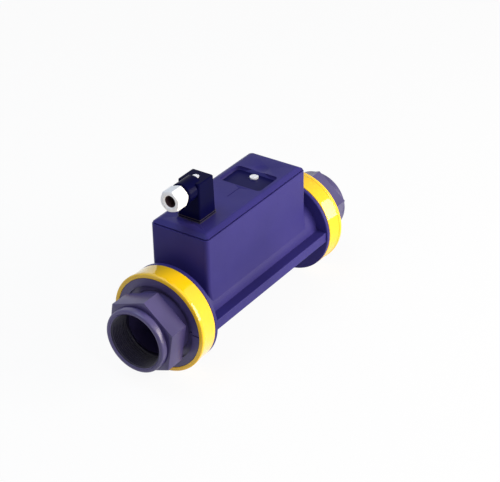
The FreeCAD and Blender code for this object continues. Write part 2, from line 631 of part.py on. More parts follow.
body = newBody("meter_body")
half = [("joint_face", 0), ("joint_face", "hub_thread_radius"), ("hub_thread_back", "hub_thread_radius"),
        ("hub_thread_back", "hub_relief_radius"), ("collar_front", "hub_relief_radius"),
        ("collar_front", "collar_radius"), ("collar_back", "collar_radius"), ("collar_back", "barrel_radius")]
barrelOutline = half + [(far(x), y) for x, y in reversed(half)]
revolve(body, "Barrel", outline(body, "BarrelOutline", "XZ_Plane", barrelOutline))
dress(body, "Chamfer", "CollarEdges", "collar_bevel",
      lambda e: isCircle(e, size("collar_radius").value))

plates = outline(body, "PlateOutline", "YZ_Plane",
                 [(-size("plate_half_width"), -size("plate_bottom")), ("plate_half_width", -size("plate_bottom")),
                  ("plate_half_width", "plate_top"), (-size("plate_half_width"), "plate_top")],
                 size("collar_back") - "plate_overlap")
pad(body, "SidePlates", plates, length - size("collar_back") * 2 + size("plate_overlap") * 2)

housingOutline = outline(body, "HousingOutline", "YZ_Plane",
                         [(0, 0), ("flare_foot_half_width", "flare_foot_height"),
                          ("box_half_width", "flare_top", size("flare_radius")),
                          ("box_half_width", "box_top"), (-size("box_half_width"), "box_top"),
                          (-size("box_half_width"), "flare_top"),
                          (-size("flare_foot_half_width"), "flare_foot_height", size("flare_radius"))],
                         "box_front")
pad(body, "Housing", housingOutline, size("box_back") - size("box_front"))
dress(body, "Fillet", "HousingCorners", "box_corner_round",
      lambda e: isUpright(e, size("flare_top").value, size("box_top").value))
dress(body, "Chamfer", "SeamBevel", "seam_bevel",
      lambda e: all(abs(v.Point.z - size("box_top").value) < 1e-3 for v in e.Vertexes))
dress(body, "Fillet", "PlateEdges", "plate_round",
      lambda e: len(e.Vertexes) == 2 and all(abs(abs(v.Point.y) - size("plate_half_width").value) < 1e-3
                                             for v in e.Vertexes) and e.Length > 100)

inner = size("box_half_width") - size("box_wall")
bayOutline = roundedRectangle(body, "BayOutline", "XY_Plane",
                              (size("box_front") + size("box_wall"), -inner),
                              (size("box_back") - size("box_wall"), inner), "bay_corner_round", "box_top")
pocket(body, "ElectronicsBay", bayOutline, size("box_top") - size("bay_floor"))

boreHalf = [(size("joint_face") - 1, 0), (size("joint_face") - 1, "seat_radius"),
            (size("keeper_front") - "keeper_side_gap", "seat_radius"),
            (size("keeper_front") - "keeper_side_gap", "keeper_groove_radius"),
            (size("keeper_back") + "keeper_side_gap", "keeper_groove_radius"),
            (size("keeper_back") + "keeper_side_gap", "seat_radius"),
            ("seat_end", "seat_radius"), ("seat_end", "throat_radius")]
groove(body, "FlowBore", outline(body, "BoreOutline", "XZ_Plane",
                                 boreHalf + [(far(x), y) for x, y in reversed(boreHalf)]))
pocket(body, "PickupWell", circleSketch(body, "WellCircle", "XY_Plane", middle, 0, "well_radius", "bay_floor"),
       size("bay_floor") - size("well_floor"))

for i, (x, side) in enumerate([("post_front", 1), ("post_front", -1), ("post_back", 1), ("post_back", -1)]):
    y = size("post_half_width") * side
    circle = circleSketch(body, "PostCircle%d" % i, "XY_Plane", x, y, "post_radius", "bay_floor")
    pad(body, "BoardPost%d" % i, circle, size("board_bottom") - size("bay_floor"))
    hole = circleSketch(body, "PostHoleCircle%d" % i, "XY_Plane", x, y, size("board_screw_radius") + "small_screw_fit",
                        "board_bottom")
    pocket(body, "PostHole%d" % i, hole, size("board_screw_depth") + "post_hole_spare")
keep(body)

# ---- end fittings ----

fitting = newBody("inlet_fitting")
mouth = size("pipe_thread_radius") + size("pipe_thread_start")
revolve(fitting, "FittingTurned", outline(fitting, "FittingOutline", "XZ_Plane", [
    (0, 0), (0, "bead_radius"), ("bead_back", "bead_radius"), ("bead_back", "neck_radius"),
    (size("hex_back") - 0.5, "neck_radius"), (size("hex_back") - 0.5, "sleeve_radius"),
    ("flange_front", "sleeve_radius"), ("flange_front", "flange_radius"), ("joint_face", "flange_radius"),
    ("joint_face", "seal_groove_outer"), ("seal_groove_floor", "seal_groove_outer"),
    ("seal_groove_floor", "seal_groove_inner"), ("joint_face", "seal_groove_inner"), ("joint_face", 0)]))
dress(fitting, "Fillet", "BeadRound", "bead_round", lambda e: isCircle(e, size("bead_radius").value, 0.0))
dress(fitting, "Fillet", "BeadBackRound", "bead_back_round", lambda e: isCircle(e, size("bead_radius").value, size("bead_back").value))

hexagon = hexagonSketch(fitting, "HexagonOutline", "hex_front", "hex_corner_radius", "hex_first_angle")
pad(fitting, "Hexagon", hexagon, size("hex_back") - size("hex_front"))
groove(fitting, "FittingBore", outline(fitting, "FittingBoreOutline", "XZ_Plane", [
    (-1, 0), (-1, mouth + 1), (0, mouth), ("pipe_thread_start", "pipe_thread_radius"),
    ("pipe_thread_end", "pipe_thread_radius"), ("pipe_thread_end", "bore_radius"),
    (size("joint_face") + 1, "bore_radius"), (size("joint_face") + 1, 0)]))
keep(fitting)

keep(mirrorOf(fitting, "outlet_fitting"))

seal = doc.addObject("Part::Torus", "inlet_o_ring")
bind(seal, "Radius1", (size("seal_groove_inner") + "seal_groove_outer") / 2)
bind(seal, "Radius2", "seal_section_radius")
seal.Placement = Placement(Vector(0, 0, 0), Rotation(Vector(0, 1, 0), 90))
place(seal, (size("joint_face") + "seal_groove_floor") / 2, 0, 0)
keep(seal)
keep(mirrorOf(seal, "outlet_o_ring"))

# ---- union joints: split thrust ring inside a screwed union ring ----

ring = newBody("inlet_split_ring")
revolve(ring, "SplitTurned", outline(ring, "SplitOutline", "XZ_Plane", [
    ("split_step_front", "split_step_inner"), ("split_step_front", "split_step_outer"),
    ("split_flange_front", "split_step_outer"), ("split_flange_front", "split_outer_radius"),
    ("flange_front", "split_outer_radius"), ("flange_front", "split_inner_radius"),
    ("split_recess_floor", "split_inner_radius"), ("split_recess_floor", "split_step_inner")]))
slit = outline(ring, "SlitOutline", "YZ_Plane", [
    (-size("split_outer_radius") - 2, 0), (-size("split_inner_radius") + 2, 0),
    (-size("split_inner_radius") + 2, "split_gap"), (-size("split_outer_radius") - 2, "split_gap")],
    size("split_step_front") - 1)
pocket(ring, "Slit", slit, 10, True)
keep(ring)
keep(mirrorOf(ring, "outlet_split_ring"))

ring = newBody("inlet_union_ring")
revolve(ring, "UnionTurned", outline(ring, "UnionOutline", "XZ_Plane", [
    ("union_front", "union_mouth_radius"), ("union_front", "union_lip_radius"),
    ("union_lip_back", "union_lip_radius"), (size("union_lip_back") + "union_lip_height", "union_band_radius"),
    ("union_back", "union_band_radius"), ("union_back", "union_clear_radius"),
    ("union_thread_back", "union_clear_radius"), ("union_thread_back", "union_thread_radius"),
    ("union_thread_front", "union_thread_radius"), ("union_thread_front", "union_clear_radius"),
    ("union_seat_back", "union_clear_radius"), ("union_seat_back", "union_seat_radius"),
    ("split_flange_front", "union_seat_radius"), ("split_flange_front", "union_mouth_radius")]))
dress(ring, "Fillet", "LipRound", "union_round",
      lambda e: isCircle(e, size("union_lip_radius").value, size("union_front").value))
dress(ring, "Fillet", "LipBackRound", "union_lip_back_round",
      lambda e: isCircle(e, size("union_lip_radius").value, size("union_lip_back").value))
dress(ring, "Fillet", "BandRound", "union_band_round",
      lambda e: isCircle(e, size("union_band_radius").value, size("union_back").value))
keep(ring)
keep(mirrorOf(ring, "outlet_union_ring"))

# ---- lid of the housing ----

lid = newBody("housing_lid")
lidOuter = (("box_front", -size("box_half_width")), ("box_back", "box_half_width"))
slope = size("lid_slope_width")
lidInner = ((size("box_front") + slope, slope - "box_half_width"), (size("box_back") - slope,
                                                                   size("box_half_width") - slope))
loft = lid.newObject("PartDesign::AdditiveLoft", "LidPlate")
loft.Profile = roundedRectangle(lid, "LidFoot", "XY_Plane", *lidOuter, "box_corner_round", "box_top")
loft.Sections = [roundedRectangle(lid, "LidSkirt", "XY_Plane", *lidOuter, "box_corner_round",
                                  size("box_top") + "lid_skirt"),
                 roundedRectangle(lid, "LidCrown", "XY_Plane", *lidInner, "lid_crown_round", "lid_top")]
loft.Ruled = True
doc.recompute()
lipHalf = inner - "lid_lip_clearance"
lipFront = size("box_front") + "box_wall" + "lid_lip_clearance"
lipBack = size("box_back") - "box_wall" - "lid_lip_clearance"
lip = roundedRectangle(lid, "LipOutline", "XY_Plane", (lipFront, -lipHalf), (lipBack, lipHalf),
                       "bay_corner_round", "box_top")
pad(lid, "LidLip", lip, "lid_lip_depth", True)
width = size("lid_lip_width")
hollow = roundedRectangle(lid, "LipHollowOutline", "XY_Plane", (lipFront + width, width - lipHalf),
                          (lipBack - width, lipHalf - width), "lid_lip_hollow_round",
                          size("box_top") - "lid_lip_depth")
pocket(lid, "LipHollow", hollow, "lid_lip_depth", True)
tub = roundedRectangle(lid, "TubOutline", "XY_Plane", ("tub_front", -size("tub_half_width")),
                       ("tub_back", "tub_half_width"), "tub_round", "tub_floor")
pad(lid, "Tub", tub, size("box_top") - "tub_floor")
pocket(lid, "Recess", roundedRectangle(lid, "RecessOutline", "XY_Plane",
                                       ("recess_front", -size("recess_half_width")),
                                       ("recess_back", "recess_half_width"), "recess_round", "lid_top"),
       size("lid_top") - "ledge_height")
bayRadius, bayDepth = size("lift_bay_radius"), size("lift_bay_depth")
bowl = outline(lid, "LiftBayOutline", "XZ_Plane", [
    (0, size("lid_top") + 1), (0, size("lid_top") - bayDepth),
    (bayRadius, "lid_top", -((bayRadius * bayRadius + bayDepth * bayDepth) / (bayDepth * 2))),
    (bayRadius, size("lid_top") + 1)])
bind(bowl, "AttachmentOffset.Base.x", "lift_bay_place")
groove(lid, "LiftBay", bowl, "V_Axis")
pocket(lid, "Window", roundedRectangle(lid, "WindowOutline", "XY_Plane",
                                       ("window_front", -size("window_half_width")),
                                       ("window_back", "window_half_width"), "window_round",
                                       "ledge_height"),
       size("ledge_height") - "tub_floor")
pocket(lid, "CoverScrewHole", circleSketch(lid, "CoverScrewHoleCircle", "XY_Plane", "cover_screw_place", 0,
                                           size("cover_screw_radius") + "small_screw_fit", "ledge_height"),
       size("ledge_height") - "tub_floor")
pocket(lid, "TailHole", circleSketch(lid, "TailHoleCircle", "XY_Plane", "plug_place", "plug_offset",
                                     "tail_hole_radius", "lid_top"), size("lid_top") - "box_top")
for i, (a, b) in enumerate([(1, 1), (1, -1), (-1, 1), (-1, -1)]):
    reach = size("base_screw_reach")
    circle = circleSketch(lid, "BaseScrewHoleCircle%d" % i, "XY_Plane", size("plug_place") + reach * a,
                          size("plug_offset") + reach * b, size("base_screw_radius") + "small_screw_fit", "lid_top")
    pocket(lid, "BaseScrewHole%d" % i, circle, size("base_screw_grip") + 0.2)
mark = roundedRectangle(lid, "MarkOutline", "XY_Plane",
                        ("mark_front", size("mark_place") - "mark_half_width"),
                        ("mark_back", size("mark_place") + "mark_half_width"), size("mark_half_width") * 0.6, "lid_top")
pocket(lid, "Mark", mark, "mark_depth")
keep(lid)

# ---- sunk settings cover ----

gap = size("cover_clearance")
plate = newBody("settings_cover")
pad(plate, "CoverPlate", roundedRectangle(plate, "CoverOutline", "XY_Plane",
                                          (size("recess_front") + gap, gap - "recess_half_width"),
                                          (size("recess_back") - gap, size("recess_half_width") - gap),
                                          size("recess_round") - gap, "cover_bottom"),
    size("cover_top") - "cover_bottom")
pad(plate, "CoverFoot", circleSketch(plate, "CoverFootCircle", "XY_Plane", "cover_screw_place", 0,
                                     "cover_foot_radius", "ledge_height"), size("cover_bottom") - "ledge_height")
pocket(plate, "CoverScrewHole", circleSketch(plate, "CoverHoleCircle", "XY_Plane", "cover_screw_place", 0,
                                             size("cover_screw_radius") + "cover_screw_hole_clearance",
                                             "cover_top"),
       size("cover_top") - "ledge_height")
dress(plate, "Chamfer", "CoverEdges", "cover_bevel",
      lambda e: all(abs(v.Point.z - size("cover_top").value) < 1e-3 for v in e.Vertexes))
keep(plate)

frame = newBody("cover_gasket")
rim = size("cover_gasket_width")
pad(frame, "GasketPlate", roundedRectangle(frame, "GasketOutline", "XY_Plane",
                                           (size("window_front") - rim, -size("window_half_width") - rim),
                                           (size("window_back") + rim, size("window_half_width") + rim),
                                           size("window_round") + 1,
                                           "ledge_height"), size("cover_bottom") - "ledge_height")
pocket(frame, "GasketWindow", roundedRectangle(frame, "GasketWindowOutline", "XY_Plane",
                                               ("window_front", -size("window_half_width")),
                                               ("window_back", "window_half_width"), "window_round",
                                               "cover_bottom"),
       size("cover_bottom") - "ledge_height")
keep(frame)


def screw(label, x, y, seat, headRadius, headHeight, shankRadius, tip):
    # Round-headed screw standing upright: its head rests on the seat height and its shank ends at the tip.
    parts = [rod(label + "_head", headRadius, seat, size(seat) + headHeight, x, y),
             rod(label + "_shank", shankRadius, tip, seat, x, y)]
    joined = fuse(label, parts)
    return joined


def slotted(label, source, x, y, top, halfLength, depth=0.7, halfWidth=0.4):
    slot = block(label + "_slot", (size(x) - halfLength, size(y) - halfWidth, size(top) - depth),
                 (size(x) + halfLength, size(y) + halfWidth, size(top) + 1))
    return cut(label, source, [slot])


coverScrew = screw("cover_screw_blank", "cover_screw_place", 0, "cover_top", "cover_screw_head_radius",
                   "cover_screw_head_height", "cover_screw_radius", size("tub_floor") + "cover_screw_end_gap")
keep(slotted("cover_screw", coverScrew, "cover_screw_place", 0, size("cover_top") + "cover_screw_head_height", 6))

# ---- connector base on the lid ----

px, py = size("plug_place"), size("plug_offset")


def squarePlate(name, halfWidth, bottom, top):
    return block(name, (px - halfWidth, py - halfWidth, bottom), (px + halfWidth, py + halfWidth, top))


def atPlug(a, b):
    return px + a, py + b


corners = [(1, 1), (1, -1), (-1, 1), (-1, -1)]
reach = size("base_screw_reach")
gasketHoles = [rod("BaseGasketHole%d" % i, size("base_screw_radius") + "base_screw_clearance", "lid_top", "base_bottom",
                   px + reach * a, py + reach * b) for i, (a, b) in enumerate(corners)]
gasketHoles.append(rod("BaseGasketCentre", "tail_hole_radius", "lid_top", "base_bottom", px, py))
keep(cut("base_gasket", squarePlate("BaseGasketPlate", "base_gasket_half_width", "lid_top", "base_bottom"),
         gasketHoles))

base = fuse("ConnectorBaseBlank", [
    squarePlate("BaseFlange", "base_half_width", "base_bottom", "base_top"),
    rod("BaseTail", "base_tail_radius", "base_tail_bottom", "base_bottom", px, py),
    rod("BasePillar", "pillar_radius", "base_top", "pillar_top", px, py)])
baseHoles = [rod("BaseHole%d" % i, size("base_screw_radius") + "base_screw_clearance", "base_bottom", "base_top",
                 px + reach * a, py + reach * b) for i, (a, b) in enumerate(corners)]
baseHoles.append(rod("PillarHole", "pillar_hole_radius", size("base_top") + "pillar_hole_floor", "pillar_top",
                     px, py))
keep(cut("connector_base", base, baseHoles))

blades = []
for i, (a, b) in enumerate([(1, 0), (-1, 0), (0, 1), (0, -1)]):
    x, y = px + size("blade_reach") * a, py + size("blade_reach") * b
    thin, wide = size("blade_thickness") / 2, size("blade_width") / 2
    hx, hy = (thin, wide) if a else (wide, thin)
    blades.append(block("Blade%d" % i, (x - hx, y - hy, "base_top"), (x + hx, y + hy, "blade_top")))
keep(group("contact_blades", blades))

keep(group("base_screws", [
    screw("BaseScrew%d" % i, px + reach * a, py + reach * b, "base_top", "base_screw_head_radius",
          "base_screw_head_height", "base_screw_radius", size("base_top") - "base_screw_depth")
    for i, (a, b) in enumerate(corners)]))

keep(cut("plug_gasket", squarePlate("PlugGasketPlate", size("plug_foot_half_width") + "plug_gasket_margin", "base_top",
                                    "plug_foot"),
         [squarePlate("PlugGasketWindow", "plug_room", "base_top", "plug_foot")]))

# ---- plug housing with the gland boss ----

plug = newBody("plug_housing")
foot, top = size("plug_foot_half_width"), size("plug_top_half_width")
low = roundedRectangle(plug, "PlugFootOutline", "XY_Plane", (px - foot, py - foot), (px + foot, py + foot),
                       "plug_corner_round", "plug_foot")
shoulder = roundedRectangle(plug, "PlugShoulderOutline", "XY_Plane", (px - top, py - top), (px + top, py + top),
                            "plug_corner_round", size("plug_top") - "plug_top_bevel")
crown = top - size("plug_top_bevel")
high = roundedRectangle(plug, "PlugTopOutline", "XY_Plane", (px - crown, py - crown), (px + crown, py + crown),
                        "plug_crown_round", "plug_top")
loft = plug.newObject("PartDesign::AdditiveLoft", "PlugWalls")
loft.Profile = low
loft.Sections = [shoulder, high]
loft.Ruled = True
doc.recompute()
boss = circleSketch(plug, "BossCircle", "YZ_Plane", "plug_offset", "gland_height", "gland_boss_radius",
                    "gland_boss_front")
pad(plug, "GlandBoss", boss, size("gland_boss_rear") - "gland_boss_front")
dress(plug, "Chamfer", "BossEdge", "boss_bevel",
      lambda e: isCircle(e, size("gland_boss_radius").value, size("gland_boss_front").value))
room = size("plug_room")
pocket(plug, "CarrierRoom", roundedRectangle(plug, "CarrierRoomOutline", "XY_Plane", (px - room, py - room),
                                             (px + room, py + room), "carrier_room_round", "plug_foot"),
       size("carrier_room_top") - "plug_foot", True)
halfLong, halfWide = size("chamber_half_length"), size("chamber_half_width")
pocket(plug, "TerminalChamber", roundedRectangle(plug, "ChamberOutline", "XY_Plane",
                                                 (px - halfLong, py - halfWide), (px + halfLong, py + halfWide),
                                                 "chamber_round", "carrier_room_top"),
       size("chamber_top") - "carrier_room_top", True)
pocket(plug, "GlandBore", circleSketch(plug, "GlandBoreCircle", "YZ_Plane", "plug_offset", "gland_height",
                                       "gland_bore_radius", "gland_boss_front"),
       size("gland_bore_back") - "gland_boss_front", True)
pocket(plug, "CablePassage", circleSketch(plug, "PassageCircle", "YZ_Plane", "plug_offset", "gland_height",
                                          "cable_hole_radius", "gland_bore_back"),
       px - "gland_bore_back", True)
pocket(plug, "ScrewSeat", circleSketch(plug, "ScrewSeatCircle", "XY_Plane", px, py,
                                       size("plug_screw_head_radius") + "plug_screw_head_clearance",
                                       size("plug_top") + 1),
       size("plug_top") + 1 - "plug_screw_seat")
pocket(plug, "ScrewHole", circleSketch(plug, "ScrewHoleCircle", "XY_Plane", px, py,
                                       size("plug_screw_radius") + "plug_screw_clearance", "plug_screw_seat"),
       size("plug_screw_seat") - "chamber_top" + 1)
keep(plug)

carrierTools = [rod("CarrierHole", "carrier_hole_radius", "carrier_bottom", "carrier_room_top", px, py)]
for i, (a, b) in enumerate([(1, 0), (-1, 0), (0, 1), (0, -1)]):
    x, y = px + size("blade_reach") * a, py + size("blade_reach") * b
    thin = size("blade_thickness") / 2 + "carrier_slot_clearance"
    wide = size("blade_width") / 2 + "carrier_slot_clearance"
    hx, hy = (thin, wide) if a else (wide, thin)
    carrierTools.append(block("CarrierSlot%d" % i, (x - hx, y - hy, "carrier_bottom"),
                              (x + hx, y + hy, "carrier_slot_top")))
keep(cut("contact_carrier", squarePlate("CarrierBlock", "carrier_half_width", "carrier_bottom",
                                        "carrier_room_top"), carrierTools))
keep(group("terminal_screws", [
    rod("TerminalScrew%d" % i, "terminal_screw_radius", "carrier_room_top",
        size("carrier_room_top") + "terminal_screw_height", px + size("terminal_screw_place") * a,
        py + size("terminal_screw_side") * b) for i, (a, b) in enumerate(corners)]))

plugScrew = screw("plug_screw_blank", px, py, "plug_screw_seat", "plug_screw_head_radius",
                  "plug_screw_head_height", "plug_screw_radius", "plug_screw_tip")
keep(slotted("plug_screw", plugScrew, px, py, size("plug_screw_seat") + "plug_screw_head_height", 5))

# ---- cable gland: nut, washer and grommet on the boss axis ----

gz = size("gland_height")
nut = newBody("gland_nut")
place(nut, 0, "plug_offset", "gland_height")
wide = size("nut_corner_radius")
revolve(nut, "NutTurned", outline(nut, "NutOutline", "XZ_Plane", [
    ("nut_front", "nut_funnel_radius"), ("nut_front", wide - "nut_bevel"), (size("nut_front") + "nut_bevel", wide),
    ("nut_back", wide), ("nut_back", "nut_shank_radius"), ("nut_shank_back", "nut_shank_radius"),
    ("nut_shank_back", "cable_hole_radius"), (size("nut_front") + "nut_funnel_depth", "cable_hole_radius")]))
pocket(nut, "NutFlats", hexagonSketch(nut, "NutHexagon", size("nut_front") - 1, wide, "nut_angle", wide + 2),
       size("nut_length") + 1, True)
keep(nut)


def tube(label, outer, hole, start, end):
    return cut(label, rod(label + "_solid", outer, start, end, y=py, z=gz, along="X"),
               [rod(label + "_hole", hole, start, end, y=py, z=gz, along="X")])


keep(tube("gland_washer", "washer_outer_radius", "washer_hole_radius", "nut_shank_back", "washer_back"))
keep(tube("cable_grommet", "grommet_outer_radius", "grommet_hole_radius", "washer_back", "gland_bore_back"))

# ---- turbine rotor: helical blades lofted between turned sections, inside a thin rim ----

rotor = newBody("turbine_rotor")
bladeBack = far("rotor_blade_front")
revolve(rotor, "RotorHub", outline(rotor, "RotorHubOutline", "XZ_Plane", [
    ("rotor_hub_front", "shaft_radius"), ("rotor_hub_front", size("rotor_hub_radius") - "rotor_hub_bevel"),
    (size("rotor_hub_front") + "rotor_hub_bevel", "rotor_hub_radius"),
    (far("rotor_hub_front") - "rotor_hub_bevel", "rotor_hub_radius"),
    (far("rotor_hub_front"), size("rotor_hub_radius") - "rotor_hub_bevel"),
    (far("rotor_hub_front"), "shaft_radius")]))
sections = []
steps = 4
for i in range(steps + 1):
    part_ = i / steps
    station = size("rotor_blade_front") + (bladeBack - "rotor_blade_front") * part_
    halfThick = size("rotor_blade_thickness") / 2
    section = outline(rotor, "BladeSection%d" % i, "YZ_Plane", [
        (size("rotor_hub_radius") - "rotor_blade_root", -halfThick), ("rotor_tip_radius", -halfThick),
        ("rotor_tip_radius", halfThick), (size("rotor_hub_radius") - "rotor_blade_root", halfThick)], station)
    section.AttachmentOffset = Placement(Vector(0, 0, station.value),
                                         Rotation(Vector(0, 0, 1), size("rotor_twist").value * part_))
    bind(section, "AttachmentOffset.Rotation.Angle", size("rotor_twist") * part_)
    sections.append(section)
blade = rotor.newObject("PartDesign::AdditiveLoft", "Blade")
blade.Profile = sections[0]
blade.Sections = sections[1:]
doc.recompute()
polar(rotor, "Blades", blade, "rotor_blade_count")
revolve(rotor, "RotorRim", outline(rotor, "RotorRimOutline", "XZ_Plane", [
    ("rotor_blade_front", "rotor_rim_inner"), ("rotor_blade_front", "rotor_rim_outer"),
    (bladeBack, "rotor_rim_outer"), (bladeBack, "rotor_rim_inner")]))
seat = pocket(rotor, "MagnetSeat", circleSketch(rotor, "MagnetCircle", "XY_Plane", middle, 0,
                                                size("magnet_radius") + "magnet_clearance", size("rotor_rim_outer") + 1),
              size("rotor_rim_outer") + 1 - "magnet_inner")
polar(rotor, "MagnetSeats", seat, 4)
keep(rotor)

magnets = []
for i, (a, b) in enumerate([(0, 1), (1, 0), (0, -1), (-1, 0)]):
    magnet = doc.addObject("Part::Cylinder", "Magnet%d" % i)
    bind(magnet, "Radius", "magnet_radius")
    bind(magnet, "Height", size("magnet_outer") - "magnet_inner")
    magnet.Placement = Placement(Vector(0, 0, 0), Rotation(Vector(1, 0, 0), -90 * i))
    place(magnet, middle, size("magnet_inner") * a, size("magnet_inner") * b)
    magnets.append(magnet)
keep(group("rotor_magnets", magnets))

keep(rod("rotor_shaft", "shaft_radius", size("bush_front") + "shaft_end_gap", far("bush_front") - "shaft_end_gap",
         along="X"))
keep(cut("front_bearing_bush", rod("BushSolid", "bush_radius", "bush_front", "core_back", along="X"),
         [rod("BushHole", "bush_hole_radius", "bush_front", "core_back", along="X")]))
keep(mirrorOf(nodes["front_bearing_bush"], "rear_bearing_bush"))

# ---- flow straighteners that carry the bearings ----

core = newBody("inlet_straightener")
revolve(core, "Core", outline(core, "CoreOutline", "XZ_Plane", [
    ("nose_tip", 0), ("nose_tip", "nose_tip_radius"), ("vane_front", "core_radius", size("nose_arc")),
    ("core_back", "core_radius"),
    ("core_back", "bush_radius"), ("bush_front", "bush_radius"), ("bush_front", 0)]))
vane = pad(core, "Vane", outline(core, "VaneOutline", "XZ_Plane", [
    ("vane_front", size("core_radius") - "vane_root"), (size("vane_front") + "vane_slope", "vane_ring_inner"),
    ("vane_back", "vane_ring_inner"), ("vane_back", size("core_radius") - "vane_root")],
    size("vane_thickness") / -2), "vane_thickness")
polar(core, "Vanes", vane, 6)
revolve(core, "OuterRing", outline(core, "RingOutline", "XZ_Plane", [
    ("keeper_back", "vane_ring_inner"), ("keeper_back", "vane_ring_outer"), ("seat_end", "vane_ring_outer"),
    ("seat_end", "vane_ring_inner")]))
keep(core)
keep(mirrorOf(core, "outlet_straightener"))

keeper = cut("InletKeeper", rod("KeeperSolid", "keeper_outer_radius", "keeper_front", "keeper_back", along="X"),
             [rod("KeeperHole", "keeper_inner_radius", "keeper_front", "keeper_back", along="X"),
              block("KeeperGap", ("keeper_front", -size("keeper_gap_half_width"), -size("keeper_outer_radius") - 1),
                    ("keeper_back", "keeper_gap_half_width", -size("keeper_inner_radius") + 4))])
keep(group("retaining_rings", [keeper, mirrorOf(keeper, "OutletKeeper")]))

# ---- pickup and electronics ----

keep(fuse("pickup_sensor", [
    rod("PickupBarrel", "pickup_radius", "well_floor", "bay_floor", middle),
    rod("PickupCollar", "pickup_collar_radius", "bay_floor", "pickup_collar_top", middle),
    rod("PickupStem", "pickup_stem_radius", "pickup_collar_top", "board_bottom", middle)]))

boardHoles = []
posts = [(x, size("post_half_width") * side) for x in ("post_front", "post_back") for side in (1, -1)]
for i, (x, y) in enumerate(posts):
    boardHoles.append(rod("BoardHole%d" % i, size("board_screw_radius") + "board_hole_clearance", "board_bottom", "board_top", x, y))
boardPlate = block("BoardPlate", ("board_front", -size("board_half_width"), "board_bottom"),
                   ("board_back", "board_half_width", "board_top"))
keep(cut("circuit_board", boardPlate, boardHoles))
keep(group("board_screws", [
    screw("BoardScrew%d" % i, x, y, "board_top", "board_screw_head_radius", "board_screw_head_height",
          "board_screw_radius", size("board_bottom") - "board_screw_depth") for i, (x, y) in enumerate(posts)]))


def onBoard(name, x, y, halfLength, halfWidth, height):
    low = (size(x) - halfLength, size(y) - halfWidth, "board_top")
    return block(name, low, (size(x) + halfLength, size(y) + halfWidth, size("board_top") + height))


def standing(name, x, y, radius, height):
    return rod(name, radius, "board_top", size("board_top") + height, x, y)


edge, front, back = size("board_half_width"), size("board_front"), size("board_back")
keep(group("board_components", [
    onBoard("Processor", middle - "processor_place", edge - "processor_side", "processor_half", "processor_half",
            "processor_height"),
    onBoard("OutputRelay", front + "relay_place", -(edge - "relay_side"), "relay_half_length", "relay_half_width",
            "relay_height"),
    onBoard("TerminalBlock", px + "terminals_place", edge - "terminals_side", "terminals_half_length",
            "terminals_half_width", "terminals_height"),
    onBoard("Amplifier", middle, -(edge - "amplifier_side"), "amplifier_half_length", "amplifier_half_width",
            "amplifier_height"),
    onBoard("Oscillator", middle - "oscillator_place", -(edge - "oscillator_side"), "oscillator_half_length",
            "oscillator_half_width", "oscillator_height"),
    onBoard("Regulator", back - "regulator_place", edge - "regulator_side", "regulator_half_length",
            "regulator_half_width", "regulator_height"),
    standing("LargeCapacitor", back - "large_capacitor_place", -(edge - "large_capacitor_side"),
             "large_capacitor_radius", "large_capacitor_height"),
    standing("SmallCapacitor", back - "small_capacitor_place", -(edge - "small_capacitor_side"),
             "small_capacitor_radius", "small_capacitor_height")]))
hx = (size("window_front") + "window_back") / 2
header = [onBoard("HeaderBlock", hx, 0, "header_half_length", "header_half_width", "header_height")]
for i in range(8):
    y = size("pin_spacing") * (i - 3.5)
    for side in (-1, 1):
        header.append(onBoard("HeaderPin%d_%d" % (i, side + 1), hx + size("pin_row_half") * side, y,
                              "pin_half_width", "pin_half_width", "pin_height"))
    if i in (0, 2, 5):
        high = size("board_top") + "header_height"
        header.append(block("JumperCap%d" % i, (hx - "cap_half_length", y - "cap_half_width", high),
                            (hx + "cap_half_length", y + "cap_half_width", high + "cap_height")))
keep(fuse("jumper_header", header))

# ---- checks and export ----

doc.recompute()
failed = [o.Name for o in doc.Objects if "Invalid" in o.State or "Error" in o.State]
if failed:
    raise RuntimeError("failed objects: %s" % failed)
for label, thing in nodes.items():
    if thing.Shape.isNull() or not thing.Shape.isValid() or not thing.Shape.Solids:
        raise RuntimeError("bad shape: %s" % label)
os.makedirs("parts", exist_ok=True)
for label, thing in nodes.items():
    thing.Shape.exportStep("parts/%s.step" % label)
    box = thing.Shape.BoundBox
    print("%-22s solids %d  volume %9.1f  x %.1f %.1f  y %.1f %.1f  z %.1f %.1f" % (
        label, len(thing.Shape.Solids), thing.Shape.Volume, box.XMin, box.XMax, box.YMin, box.YMax,
        box.ZMin, box.ZMax))
print(len(nodes), "nodes written")
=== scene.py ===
import bmesh
import bpy
import math
import numpy as np
from mathutils import Matrix, Vector


